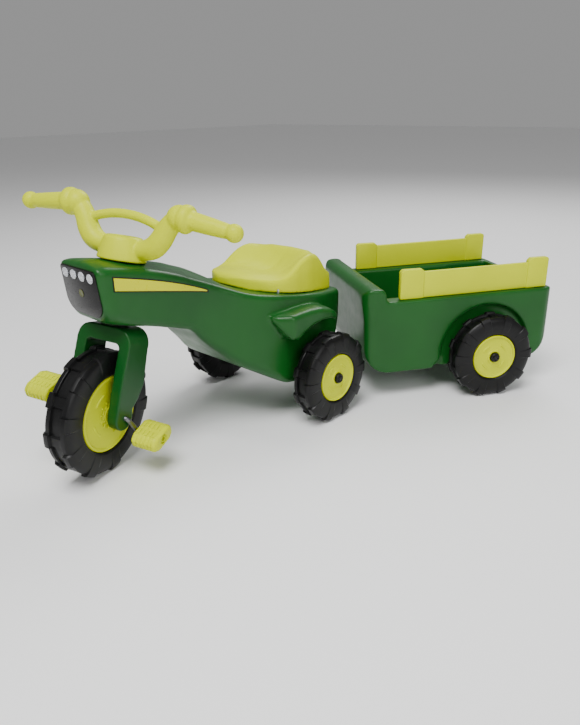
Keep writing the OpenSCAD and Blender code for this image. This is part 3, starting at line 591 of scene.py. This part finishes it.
# fender over a rear wheel: y, outer x, top, lip
FENDER = [
    (342, 126, 247, 239),
    (349, 135, 247.5, 228),
    (360, 148, 249, 210),
    (371, 158.5, 250, 197),
    (377, FENDER_X, 250, 197),
    (388, FENDER_X, 250.5, lip(388)),
    (402, FENDER_X, 251, lip(402)),
    (430, FENDER_X, 251, lip(430)),
    (461, FENDER_X, 248, lip(461)),
    (489, 159, 240, lip(489)),
    (505, 156, 231, lip(505)),
    (517, 150, 222, lip(517)),
]


def fender(side):
    rings = []
    for y, x, top, low in FENDER:
        edge = min((top - low) * 0.45, 11)
        ring = [(100, low + 2), (x - 5, low), (x - 1.5, low + 1.5), (x, low + 5)]
        ring += [(x, top - edge - 3)] + arc(x - edge, top - edge - 1, edge, 0, 70, 4)
        ring += [(x - 20, top + 0.5), (130, top + 1), (118, top + 1), (100, top + 1)]
        rings.append([(side * a, y, b) for a, b in ring])
    return loft("fender", rings)


def make_body():
    shell = loft("body", [body_ring(s) for s in smooth_path(BODY, 4)])
    parts = [shell, fender(1), fender(-1)]
    parts.append(block("hitch block", (-22, HITCH_Y - 26, 104), (22, HITCH_Y + 21, 200), 6))
    return melt(join("body_moulding", *parts), 2.6, 4)


settle(make_body(), TRIKE, "tricycle", "green_plastic", "body_shell", crease=60)


# ---------- nose ----------
FACE = -2.0


def shield(hw, z0, z1, low_r, top_r, n=8):
    """Outline of the grille panel, with large round corners at the chin."""
    half = arc(hw + 1 - low_r, z0 + low_r, low_r, -90, 0, n)
    half += arc(hw - top_r, z1 - top_r, top_r, 0, 90, n)
    return half + [(-x, z) for x, z in reversed(half)]


def on_face(ob, x, z):
    """Lays a turned trim piece on the sloping face of the nose."""
    slope = math.atan2(LEAN, LEAN_DROP)
    tilt = Matrix.Rotation(math.pi / 2 + slope, 4, "X")
    ob.data.transform(Matrix.Translation((x, FACE + lean(0, z), z)) @ tilt)
    return ob


def make_grille():
    """A thin panel that follows the lean of the nose."""
    outline = shield(NOSE - 9, TOP - 94, TOP - 8, 27, 8)
    ob = bevel(plate("grille_print", outline, 1.9, "xz", FACE), 0.8, 2)
    for v in ob.data.vertices:
        v.co.y += lean(0, v.co.z)
    return ob


settle(make_grille(), TRIKE, "tricycle", "grille_black", "grille_panel")


def make_lamp():
    profile = [(0, -0.2), (8.4, -0.2), (8.6, 0.4), (8.5, 1.3), (7.9, 1.9)]
    profile += [(7.2, 1.55), (6.6, 1.7), (4.4, 2.1), (2.2, 2.3), (0, 2.35)]
    return turned("lamp", profile, 48)


LAMPS, LAMP_PITCH = 4, 27
lamps = []
for i in range(LAMPS):
    lamps.append(on_face(make_lamp(), (i - (LAMPS - 1) / 2) * LAMP_PITCH, TOP - 22))
settle(join("lamp_faces", *lamps), TRIKE, "tricycle", "lamp_grey", "headlamps")


def make_badge():
    """A small plain raised button."""
    profile = [(0, -0.2), (6.6, -0.2), (7.0, 0.2), (7.0, 0.9), (6.4, 1.3), (5.6, 1.0), (0, 1.0)]
    return on_face(turned("nose_badge", profile, 48), 0, TOP - 54)


settle(make_badge(), TRIKE, "tricycle", "badge_grey", "front_badge")

# ---------- seat ----------
# place along the seat, half width, heights over the deck at the shoulder, mid width and centre
SEAT = [
    (323, 16, 9, 10, 10), (326, 28, 15, 16, 16), (332, 42, 19, 21, 22), (342, 58, 22, 25, 27),
    (355, 73, 23, 28, 31), (370, 87, 23, 29, 33), (386, 97, 24, 30, 33), (402, 103, 28, 31, 32),
    (418, 106, 36, 32, 30), (434, 107, 49, 36, 29), (452, 106, 63, 43, 30), (470, 105, 73, 52, 35),
    (488, 102, 79, 64, 46), (502, 98, 79, 73, 61), (514, 95, 78, 80, 75), (526, 92, 72, 82, 82),
    (538, 89, 62, 77, 82), (549, 86, 51, 63, 71), (560, 83, 43, 49, 55), (571, 79, 38, 42, 45),
    (578, 75, 35, 38, 40), (582, 70, 29, 32, 34),
]


def deck(y):
    """Height of the deck that the seat lies on."""
    return 318 - (y - 280) * 0.385 if y < 345 else 293 - (y - 345) * 0.174


def seat_ring(station):
    """Section of the seat: upright skirt, rolled shoulder and a dished middle."""
    y, w = station[:2]
    base = deck(y) - 2
    shoulder, mid, centre = (base + 3 + rise for rise in station[2:5])
    skirt = base + 3 + station[2] * 0.6
    half = [
        (w, base), (w, base + 4), (w, skirt),
        (0.985 * w, shoulder - 0.25 * (shoulder - skirt)), (0.955 * w, shoulder - 0.06 * (shoulder - skirt)),
        (0.9 * w, shoulder), (0.76 * w, 0.5 * shoulder + 0.5 * mid), (0.6 * w, mid),
        (0.3 * w, 0.5 * (mid + centre) - 0.12 * (mid - centre)),
    ]
    other_half = [(-x, z) for x, z in reversed(half)]
    return [(x, y, z) for x, z in half + [(0, centre)] + other_half + [(0, base)]]


def make_seat():
    ob = loft("seat_moulding", [seat_ring(s) for s in smooth_path(SEAT, 2)])
    return melt(ob, 2.2, 6)


settle(make_seat(), TRIKE, "tricycle", "yellow_plastic", "seat", crease=60)


# ---------- side stripes ----------
def flank(y):
    """Half width of the hood's side at y."""
    for a, b in zip(BODY, BODY[1:]):
        if a[0] <= y <= b[0]:
            return a[1] + (b[1] - a[1]) * (y - a[0]) / (b[0] - a[0])
    return BODY[-1][1]


STRIPE_Y0, STRIPE_Y1, STRIPE_H, BORDER = 26, 224, 27, 2.2


def stripe_edges(y, inset):
    """Lower and upper edge of the stripe, which narrows towards the tail."""
    run = y - STRIPE_Y0
    part = run / (STRIPE_Y1 - STRIPE_Y0)
    lower = TOP - 46 - 0.205 * run
    upper = lower + STRIPE_H - 7 * part - 14 * part ** 3
    return lower + inset, max(upper - inset, lower + inset + 0.8)


def make_stripe(name, inset, lift, thick, side):
    rings = []
    cuts = 24
    for k in range(cuts + 1):
        y = STRIPE_Y0 + inset + k * (STRIPE_Y1 - 2.5 * inset - STRIPE_Y0) / cuts
        low, up = stripe_edges(y, inset)
        x = flank(y) + lift
        root, skin = side * x - side * 2, side * (x + thick)
        mid = (low + up) / 2
        rings.append([(root, y, low), (skin, y, low), (skin, y, mid), (skin, y, up), (root, y, up)])
    return loft(name, rings)


for side, word in ((1, "left"), (-1, "right")):
    edge = make_stripe("stripe_edge_" + word, 0, 0.3, 0.5, side)
    settle(edge, TRIKE, "tricycle", "decal_black", "stripe_border_" + word)
    field = make_stripe("stripe_face_" + word, BORDER, 0.6, 0.5, side)
    settle(field, TRIKE, "tricycle", "decal_yellow", "stripe_field_" + word)


# ---------- fork ----------
CROWN, CROWN_TOP, LEG_IN, LEG_OUT, TIP_R = 135, 163, 36, 58, 24.5


def make_fork():
    """An arch seen from the front, cut to the leg's outline seen from the side."""
    arch = [(LEG_IN, -TIP_R - 5), (LEG_OUT, -TIP_R - 5)] + arc(LEG_OUT - 28, CROWN_TOP - 28, 28, 0, 90, 10)
    arch += [(-x, z) for x, z in reversed(arch)]
    hollow = arc(LEG_IN - 10, CROWN - 10, 10, 0, 90, 6)
    arch += [(-x, z) for x, z in hollow] + [(x, z) for x, z in reversed(hollow)]
    bow = plate("fork", arch, 180, "xz", -90)
    leg = arc(-FORK_OFF, 0, TIP_R, 30, -180, 18)
    leg += [
        (-FORK_OFF - TIP_R + 3, 52), (-FORK_OFF - 11, CROWN), (-FORK_OFF - 9, CROWN_TOP),
        (FORK_OFF + 11, CROWN_TOP), (FORK_OFF + 11, CROWN), (FORK_OFF + 10, 56), (FORK_OFF - 2, 32),
    ]
    side = plate("fork side", leg, 200, "yz", -100)
    ob = combine(bow, side, "INTERSECT")
    return melt(join("fork_moulding", ob), 1.8, 14)


settle(make_fork(), STEER, "steering", "dark_green_plastic", "fork", crease=60)

# ---------- handlebar ----------
CONE_Z, BOW_R = 281, 195
KNUCKLE, KNUCKLE_R = (110, 370), 23.2
GRIP_START, GRIP_SLOPE = (113, 371.2), math.atan2(-11.0, 101.2)
GRIP_END, GRIP_END_R = (218, 360), 16.2
# radius and height over the cone's foot
CONE = [
    (0, 0), (44.5, 0), (44.5, 3), (41.5, 16), (38, 30),
    (35.5, 39), (32, 43), (26, 44), (18, 42.5), (0, 41.5),
]
# x, z and radius along an arm
ARM = [
    (14, 301, 16), (42, 304, 18), (64, 312, 20), (78, 328, 20),
    (87, 346, 19), (98, 361, 18), (112, 370, 18),
]
# distance along a grip and radius
GRIP = [
    (0, 20), (4, 24.5), (9, 25.6), (15, 25.2), (19, 22.5), (22, 18.2),
    (26, 16.7), (60, 15.2), (88, 13.6), (92, 13.0), (104, 11),
]


def make_handlebar():
    parts = [turned("cone", [(r, CONE_Z + h) for r, h in CONE], 64)]
    for s in (-1, 1):
        arm = smooth_path(ARM, 5)
        parts.append(tube("arm", [(s * x, 0, z) for x, z, r in arm], [r for x, z, r in arm], 28))
        path, radii = [], []
        for along, r in GRIP:
            x, z = GRIP_START[0] + along * math.cos(GRIP_SLOPE), GRIP_START[1] + along * math.sin(GRIP_SLOPE)
            path.append((s * x, 0, z))
            radii.append(r)
        parts.append(tube("grip", path, radii, 32))
        parts.append(ball("knuckle", (s * KNUCKLE[0], 0, KNUCKLE[1]), KNUCKLE_R))
        parts.append(ball("grip end", (s * GRIP_END[0], 0, GRIP_END[1]), GRIP_END_R))
    bow = []
    for degrees in range(-25, 26, 2):
        a = math.radians(degrees)
        bow.append((BOW_R * math.sin(a), 0, CONE_Z + 82 - BOW_R + BOW_R * math.cos(a)))
    parts.append(tube("crossbar", bow, 8.6, 20))
    return melt(join("handlebar_moulding", *parts), 1.7, 5)


settle(make_handlebar(), STEER, "steering", "yellow_plastic", "handlebar", crease=60)


# ---------- tyres ----------
def tread_ring(angle, pitch, r, w, disc, lug, pocket_w):
    """Closed outline of a tyre at one angle inside a pitch, with its lugs and tread pocket."""
    u = angle / pitch
    # near-side tooth in the middle of the pitch, far-side tooth shared by its ends
    near = step(u, 0.30, 0.325) * (1 - step(u, 0.675, 0.70))
    far = 1 - step(u, 0.175, 0.20) * (1 - step(u, 0.80, 0.825))
    pocket = step(u, 0.12, 0.145) * (1 - step(u, 0.855, 0.88))
    half, groove = w / 2, pocket_w / 2
    base = r - lug
    floor = base + 0.8 - pocket * 4.2
    pts = []
    levels = [
        # near side wall, from the bead out
        (disc + 0.3, half - 5.5), (disc + 1.5, half - 2.5), (disc + 5, half - 0.4), (disc + 9, half),
        (r - 27, half + near * 0.6), (r - 20, half - 0.4 + near * 1.0), (r - 14, half - 1.6 + near * 1.6),
        (r - 9.5, half - 3.0 + near * 2.6), (base - 1.5 + near * 1.5, half - 5.2 + near * 3.0),
        # near tooth
        (base + 0.2 + near * (lug - 1.2), half - 7.4 + near * 2.6),
        (base + 0.6 + near * (lug - 0.6), half - 9.5),
        (base + 0.7 + near * (lug - 0.7), groove + 4), (base + 0.9 + near * (lug - 0.9), groove + 1.2),
        (base + 0.9 + near * (lug - 0.9) * 0.6 - pocket * 0.4, groove + 0.4),
        # pocket in the middle of the tread
        (floor - 0.2, groove - 0.9), (floor, groove / 2), (floor, 0), (floor, -groove / 2),
        (floor - 0.2, -groove + 0.9),
        # far tooth
        (base + 0.9 + far * (lug - 0.9) * 0.6 - pocket * 0.4, -groove - 0.4),
        (base + 0.9 + far * (lug - 0.9), -groove - 1.2), (base + 0.7 + far * (lug - 0.7), -groove - 4),
        (base + 0.6 + far * (lug - 0.6), -half + 9.5),
        (base + 0.2 + far * (lug - 1.2), -half + 7.4 - far * 2.6),
        # far side wall, back to the bead
        (base - 1.5 + far * 1.5, -half + 5.2 - far * 3.0), (r - 9.5, -half + 3.0 - far * 2.6),
        (r - 14, -half + 1.6 - far * 1.6), (r - 20, -half + 0.4 - far * 1.0), (r - 27, -half - far * 0.6),
        (disc + 9, -half), (disc + 5, -half + 0.4), (disc + 1.5, -half + 2.5), (disc + 0.3, -half + 5.5),
        (disc - 6, -half + 9), (disc - 6, half - 9),
    ]
    for rad, h in levels:
        pts.append((rad * math.cos(angle), rad * math.sin(angle), h))
    return pts


def make_tyre(name, r, w, disc, lug, pocket_w, pitches=10):
    """A tyre of like pitches; the marks crowd where a tooth or a pocket starts."""
    pitch = 2 * math.pi / pitches
    marks = [
        0, 0.04, 0.08, 0.12, 0.1325, 0.145, 0.175, 0.1875, 0.20, 0.25, 0.30,
        0.3125, 0.325, 0.37, 0.41, 0.45, 0.5, 0.55, 0.59, 0.63, 0.675, 0.6875,
        0.70, 0.75, 0.80, 0.8125, 0.825, 0.855, 0.8675, 0.88, 0.92, 0.96, 1.0,
    ]
    rings = [tread_ring(m * pitch, pitch, r, w, disc, lug, pocket_w) for m in marks]
    return around(loft(name, rings, ends=False), pitches)


FRONT_W = 55
tyre = make_tyre("front_tread", 121.9, FRONT_W, 73.5, 5.2, 23)
settle(tyre, FRONT_WHEEL, "front_wheel", "tyre_black", "front_tyre", crease=24)


# ---------- discs ----------
def disc_ring(angle, r, hub, face):
    """Section of a disc at one angle: beaded rim, shallow dish, four raised arcs, hub boss."""
    quarter = math.pi / 2
    mark = step(angle, quarter * 0.27, quarter * 0.31) * (1 - step(angle, quarter * 0.69, quarter * 0.73))
    pts = []
    for share, h in [
        (1.0, -2.8), (1.0, 0.2), (0.985, 2.0), (0.96, 2.9), (0.93, 2.6),
        (0.912, 1.2), (0.90, -0.6), (0.86, -1.4), (0.80, -1.5), (0.66, -1.3),
    ]:
        pts.append((share * r, h))
    ridge = 0.585 * r
    for d, h in ((2.3, -1.2), (1.5, 0.35), (0, 0.8), (-1.5, 0.35), (-2.3, -1.2)):
        pts.append((ridge + d, -1.25 + (h + 1.25) * mark))
    pts += [
        (0.46 * r, -1.1), (0.40 * r, -0.9), (hub + 6, -0.4), (hub + 4.6, 1.1),
        (hub + 2.5, 1.7), (hub + 0.8, 1.6), (hub, 1.0), (hub - 0.4, -2.5),
        (hub - 0.4, -face), (hub + 2.5, -face), (hub + 3, -4.2), (0.985 * r, -4.2),
    ]
    return [(rad * math.cos(angle), rad * math.sin(angle), h) for rad, h in pts]


def make_disc(name, r, hub, depth):
    quarter = math.pi / 2
    marks = sorted(set([k / 24 for k in range(25)] + [0.27, 0.29, 0.31, 0.69, 0.71, 0.73]))
    rings = [disc_ring(m * quarter, r, hub, depth) for m in marks]
    return around(loft(name, rings, ends=False), 4)


def make_front_disc(name):
    """Front disc: the same rim and arcs, with radial ribs moulded round a taller hub."""
    ob = make_disc(name, 73.3, 14, 20)
    ribs = []
    for k in range(12):
        rib = block("rib", (19.5, -1.5, -0.5), (27.5, 1.5, 1.9), 0.7, 2)
        rib.data.transform(Matrix.Rotation(2 * math.pi * k / 12, 4, "Z"))
        ribs.append(rib)
    profile = [(5.2, -2), (16.5, -2), (16.5, 2.6), (15.6, 3.6), (13, 4.0), (7.5, 4.0), (6.4, 3.2), (5.2, 3.0)]
    boss = turned("boss", profile, 64)
    return join(name, ob, boss, *ribs)


FRONT_FACE = FRONT_W / 2 - 4.3
side_disc = make_front_disc("front_wheel_disc_left")
other = twin_of(side_disc, "front_wheel_disc_right")
settle(side_disc, at(FRONT_WHEEL, z=FRONT_FACE), "front_wheel", "yellow_plastic", "front_disc_left")
flipped = at(FRONT_WHEEL @ Matrix.Rotation(math.pi, 4, "X"), z=FRONT_FACE)
settle(other, flipped, "front_wheel", "yellow_plastic", "front_disc_right")


def make_cap(name):
    """Push-on cap: a round black button with six pressed petals."""
    rings, steps = [], 72
    for k in range(steps):
        a = 2 * math.pi * k / steps
        petal = 0.5 + 0.5 * math.cos(6 * a)
        ring = [
            (0.0, 0.3), (10.9, 0.3), (11.0, 2.2), (10.6, 4.2), (9.6, 5.3), (8.2, 5.7 - 0.3 * petal),
            (6.8, 5.2 - 2.2 * petal), (5.2, 5.0 - 2.4 * petal), (4.2, 5.3 - 0.8 * petal),
            (3.4, 6.2), (2.0, 6.6), (0.0, 6.7),
        ]
        rings.append([(r * math.cos(a), r * math.sin(a), h) for r, h in ring])
    return outward(loft(name, rings + rings[:1], ends=False), 0.01)


small_tyre = make_tyre("rear_tread", 97.4, 50.8, 52.2, 4.6, 21)
small_disc = make_disc("rear_disc", 52.0, 12, 30)
small_cap = make_cap("wheel_cap")
WAGON_AXLE = 972
REAR_FACE, WAGON_FACE = 201, 215
WHEELS = [
    ("rear", "left", TRIKE, 1, REAR_FACE, AXLE_Y, "rear_wheel_left"),
    ("rear", "right", TRIKE, -1, REAR_FACE, AXLE_Y, "rear_wheel_right"),
    ("wagon", "left", WAGON, 1, WAGON_FACE, WAGON_AXLE, "wagon_wheel_left"),
    ("wagon", "right", WAGON, -1, WAGON_FACE, WAGON_AXLE, "wagon_wheel_right"),
]
for kind, word, base, side, face, y, rides in WHEELS:
    place = side_wheel(base, side, face, y)
    cad = f"{kind}_%s_{word}"
    t = twin_of(small_tyre, f"{kind}_tread_{word}")
    settle(t, at(place, z=-26.3 + 2), rides, "tyre_black", cad % "tyre", crease=24)
    d = twin_of(small_disc, f"{kind}_wheel_disc_{word}")
    settle(d, at(place, z=-2.2), rides, "yellow_plastic", cad % "disc")
    c = twin_of(small_cap, f"{kind}_wheel_cap_{word}")
    settle(c, place, rides, "black_plastic", cad % "cap")
for spare in (small_tyre, small_disc, small_cap):
    bpy.data.objects.remove(spare)

# ---------- crank and pedals ----------
ROD = 4.5
WEB_X = LEG_OUT + ROD + 1
PEDAL_X = WEB_X + ROD + 1
PEDAL_LEN = 53
hub_in_steer = STEER.inverted() @ front_hub
pedal_at = {}
for side, word in ((1, "left"), (-1, "right")):
    pedal_at[side] = STEER.inverted() @ Vector(joint(word + "_pedal_spin")["pos_m"]) - hub_in_steer


def rounded_corners(points, radius=9, cuts=6):
    """Bends of a rod: each inner corner of the path becomes an arc."""
    pts = [Vector(p) for p in points]
    out = [pts[0]]
    for a, b, c in zip(pts, pts[1:], pts[2:]):
        p, q = b + (a - b).normalized() * radius, b + (c - b).normalized() * radius
        for k in range(cuts + 1):
            t = k / cuts
            out.append(p * (1 - t) ** 2 + b * 2 * t * (1 - t) + q * t * t)
    return out + [pts[-1]]


def make_crank():
    """One rod: spindle, web, axle, web, spindle."""
    out = Vector((1, 0, 0))
    end = PEDAL_X + PEDAL_LEN - 6
    path = [pedal_at[-1] - out * end, pedal_at[-1] - out * WEB_X, -out * WEB_X]
    path += [out * WEB_X, pedal_at[1] + out * WEB_X, pedal_at[1] + out * end]
    return tube("crank_bent_rod", rounded_corners([p + hub_in_steer for p in path], 8), ROD, 20)


settle(make_crank(), STEER, "front_wheel", "crank_steel", "crank_rod", crease=60)


PEDAL_HW, PEDAL_HT, PEDAL_TILT = 31, 15, 30


def make_pedal(name):
    """Moulded pedal: ribbed long sides, a chamfered end and a ring round the spindle."""
    w, t = PEDAL_HW, PEDAL_HT
    outline = [(-w, -t * 0.38), (-w + 2.5, -t * 0.62), (-w * 0.62, -t), (-6, -t)]
    outline += [(-x, z) for x, z in reversed(outline)]
    outline += [(-x, -z) for x, z in outline]
    stations = [(0, 0.86), (1.5, 0.95), (4, 1.0)]
    x = 9
    while x < PEDAL_LEN - 9:
        stations += [(x, 1.0), (x + 0.6, 0.945), (x + 2.2, 0.945), (x + 2.8, 1.0)]
        x += 8.6
    stations += [(PEDAL_LEN - 8, 1.0), (PEDAL_LEN - 3, 0.95), (PEDAL_LEN - 0.8, 0.84), (PEDAL_LEN, 0.78)]
    solid = loft(name, [[(h, a * k, b * k) for a, b in outline] for h, k in stations])
    recess = [(0, -7), (9.4, -7), (9.6, 2), (0, 2)]
    collar = [(4.7, -7.5), (6.9, -7.5), (6.9, -1.2), (6.3, -0.6), (5.3, -0.6), (4.7, -1.2)]
    hole = turned("spindle recess", [(r, PEDAL_LEN + h) for r, h in recess], 40)
    hole.data.transform(Matrix.Rotation(math.pi / 2, 4, "Y"))
    combine(solid, hole)
    ring = turned("spindle ring", [(r, PEDAL_LEN + h) for r, h in collar], 40)
    ring.data.transform(Matrix.Rotation(math.pi / 2, 4, "Y"))
    pads = []
    for face in (-1, 1):
        for row in (-1, 1):
            for col in range(5):
                x0 = 5 + col * 8.8
                lo, hi = (x0, row * 10 - 6, face * t - 1), (x0 + 5.4, row * 10 + 6, face * t + 1.2 * face)
                pads.append(block("pad", lo, hi, 0.5, 2))
    return join(name, bevel(solid, 0.9, 2, 25), ring, *pads)


for side, word in ((1, "left"), (-1, "right")):
    pedal = make_pedal("pedal_block_" + word)
    spot = Matrix.Translation(pedal_at[side] + hub_in_steer) @ Matrix.Diagonal((side, 1, 1, 1))
    tilted = at(STEER @ spot, PEDAL_X) @ Matrix.Rotation(math.radians(PEDAL_TILT), 4, "X")
    covers = ("pedal_" + word, "pedal_cap_" + word)
    settle(pedal, tilted, word + "_pedal", "yellow_plastic", *covers, crease=35)

# ---------- wagon ----------
TUB_HW, TUB_Y0, TUB_Y1, TUB_Z0, LEDGE, FRONT_TOP = 168, 675.5, 1141.0, 65, 234, 265
ARCH_R, ARCH_X = 115, 154
CAVITY_X, FLOOR = 128, 85


def tub_side():
    """Outline of the tub from the side: round foot, rolled front wall, ledge and swept tail."""
    low = arc(TUB_Y0 + 60, TUB_Z0 + 60, 60, -90, -180, 9)
    front = [(TUB_Y0, LEDGE - 50), (TUB_Y0 - 4, FRONT_TOP - 24)]
    roll = arc(TUB_Y0 + 16, FRONT_TOP - 20, 20, 180, 90, 6) + arc(TUB_Y0 + 30, FRONT_TOP - 17, 17, 90, 0, 6)
    top = [
        (TUB_Y0 + 48, LEDGE + 6), (TUB_Y0 + 52, LEDGE), (TUB_Y0 + 240, LEDGE + 2),
        (TUB_Y1 - 8, LEDGE + 4), (TUB_Y1, LEDGE - 6), (TUB_Y1, TUB_Z0 + 90),
    ]
    tail = []
    for degrees in range(10, 91, 10):
        a = math.radians(degrees)
        tail.append((TUB_Y1 - 75 + 75 * math.cos(a), TUB_Z0 + 80 - 80 * math.sin(a)))
    return low + front + roll + top + tail


def tub_plan():
    """Outline of the tub from above: rounder corners at the tail."""
    front_r, tail_r = 26, 30
    near = arc(TUB_HW - front_r, TUB_Y0 + 22, front_r, -90, 0, 8)
    near += arc(TUB_HW - tail_r, TUB_Y1 - tail_r, tail_r, 0, 90, 8)
    return near + [(-x, y) for x, y in reversed(near)]


def load_room():
    """Cutter for the load space, with a hump over the axle."""
    hump = 115
    outline = [
        (TUB_Y0 + 50, FLOOR), (WAGON_AXLE - 28, FLOOR), (WAGON_AXLE - 18, hump), (WAGON_AXLE + 18, hump),
        (WAGON_AXLE + 28, FLOOR), (TUB_Y1 - 24, FLOOR), (TUB_Y1 - 20, 400), (TUB_Y0 + 50, 400),
    ]
    return plate("room", outline, 2 * CAVITY_X, "yz", -CAVITY_X)


def wheel_well(side):
    """Cutter for a wheel arch: a drum with a stepped rim."""
    profile = [(0, 0), (ARCH_R - 5, 0), (ARCH_R - 4, 3), (ARCH_R - 3, 11)]
    profile += [(ARCH_R + 1, 15), (ARCH_R + 1, 24), (0, 24)]
    well = turned("well", profile, 96)
    place = Matrix.Translation((side * ARCH_X, WAGON_AXLE, AXLE_Z))
    well.data.transform(place @ Matrix.Rotation(side * math.pi / 2, 4, "Y"))
    return well


def foot_notch(side):
    """Cutter that slants the foot in front of a wheel arch."""
    y = WAGON_AXLE - ARCH_R
    outline = [(y - 20, TUB_Z0 - 5), (y + 12, TUB_Z0 - 5), (y + 12, TUB_Z0 + 24), (y - 4, TUB_Z0 + 17)]
    return plate("notch", outline, 40, "yz", 148 if side > 0 else -188)


def make_tub():
    tub = plate("tub", tub_side(), 2 * TUB_HW + 20, "yz", -TUB_HW - 10)
    combine(tub, plate("plan", tub_plan(), 300, "xy", 40), "INTERSECT")
    combine(tub, load_room())
    for side in (-1, 1):
        combine(tub, wheel_well(side))
        combine(tub, foot_notch(side))
    # a stepped boss ends the rolled front wall on each side
    parts = [tub]
    for side in (-1, 1):
        outer = side * (TUB_HW - 3)
        lo = (outer - 17 * (side > 0), TUB_Y0 + 2, LEDGE - 12)
        hi = (outer + 17 * (side < 0), TUB_Y0 + 44, FRONT_TOP - 1)
        parts.append(block("boss", lo, hi, 7))
    return melt(join("wagon_moulding", *parts), 3.2, 6)


settle(make_tub(), WAGON, "wagon", "green_plastic", "wagon_tub", crease=60)

STAKE_X, STAKE_T, STAKE_H = 144, 14, 69
STAKE_Y0, STAKE_Y1 = TUB_Y0 + 82, TUB_Y0 + 446


def stake_foot(y):
    """Height at which a stake board stands on the ledge, which rises a little to the tail."""
    return LEDGE + 0.8 + max(0, (y - TUB_Y0 - 47) / 411) * 4


def make_stake(name):
    """A thin board between two thicker posts, with two pegs for the sockets."""
    y0, y1, z1 = STAKE_Y0, STAKE_Y1, LEDGE + STAKE_H
    foot0, foot1 = stake_foot(y0), stake_foot(y1)
    rail = [(y0 + 8, foot0), (y1 - 8, foot1), (y1 - 8, z1 - 4), (y0 + 8, z1 - 8)]
    board = bevel(plate("rail", rail, STAKE_T - 4.5, "yz", STAKE_X + 2), 2.2, 3)
    front = [(y0, foot0), (y0 + 56, foot0), (y0 + 56, z1 - 6), (y0 + 49, z1), (y0 + 5, z1), (y0, z1 - 5)]
    back = [(y1 - 52, foot1), (y1, foot1), (y1, z1 + 2)]
    back += [(y1 - 4, z1 + 6), (y1 - 45, z1 + 6), (y1 - 52, z1 - 1)]
    parts = [board]
    for outline in (front, back):
        parts.append(bevel(plate("post", outline, STAKE_T, "yz", STAKE_X), 2.4, 3))
    for y in (y0 + 40, y1 - 40):
        lo, hi = (STAKE_X + 3, y - 11, LEDGE - 26), (STAKE_X + 11, y + 11, LEDGE + 10)
        parts.append(block("peg", lo, hi, 1.0, 2))
    return join(name, *parts)


for side, word in ((1, "left"), (-1, "right")):
    stake = make_stake("stake_board_" + word)
    mirrored = WAGON @ Matrix.Diagonal((side, 1, 1, 1))
    settle(stake, mirrored, word + "_stake", "yellow_plastic", "stake_" + word, crease=35)


# ---------- studio ----------
def studio():
    """A pale floor under a soft sky and three large lamps."""
    clear()
    bpy.ops.mesh.primitive_plane_add(size=30, location=(0, 0, -0.0005))
    floor = bpy.context.object
    floor.name = "floor"
    f = Finish("pale floor", (0.9, 0.9, 0.9), 0.6, Specular_IOR_Level=0.2)
    floor.data.materials.append(f.mat)
    world = bpy.data.worlds.new("studio")
    bpy.context.scene.world = world
    world.use_nodes = True
    world.node_tree.nodes["Background"].inputs["Color"].default_value = (1, 1, 1, 1)
    world.node_tree.nodes["Background"].inputs["Strength"].default_value = 0.32
    for name, place, size, power in (
        ("key light", (0.7, -1.5, 3.0), 1.5, 120),
        ("fill light", (2.6, -0.9, 1.6), 1.6, 30),
        ("back light", (-0.8, 2.4, 2.8), 2.0, 80),
    ):
        bpy.ops.object.light_add(type="AREA", location=place)
        lamp = bpy.context.object
        lamp.name = name
        lamp.data.size, lamp.data.energy = size, power
        aim = Vector((0, 0, 0.2)) - Vector(place)
        lamp.rotation_euler = aim.to_track_quat("-Z", "Y").to_euler()


def camera():
    """Stands off the near front corner and looks down on the whole train."""
    place = TRIKE @ Vector((1030.27, -543.77, 650.51))
    yaw, pitch, roll = (math.radians(a) for a in (-44.074, -21.631, -1.065))
    cam = bpy.data.cameras.new("camera")
    cam.lens, cam.sensor_width = 32.585, 36
    ob = bpy.data.objects.new("camera", cam)
    bpy.context.scene.collection.objects.link(ob)
    ahead = Vector((math.sin(yaw) * math.cos(pitch), math.cos(yaw) * math.cos(pitch), math.sin(pitch)))
    right = ahead.cross(Vector((0, 0, 1))).normalized()
    up = right.cross(ahead)
    c, s = math.cos(roll), math.sin(roll)
    r2, u2 = right * c + up * s, up * c - right * s
    turn = Matrix((r2, u2, -ahead)).transposed()
    ob.matrix_world = Matrix.Translation(place) @ turn.to_4x4()
    bpy.context.scene.camera = ob


studio()
camera()
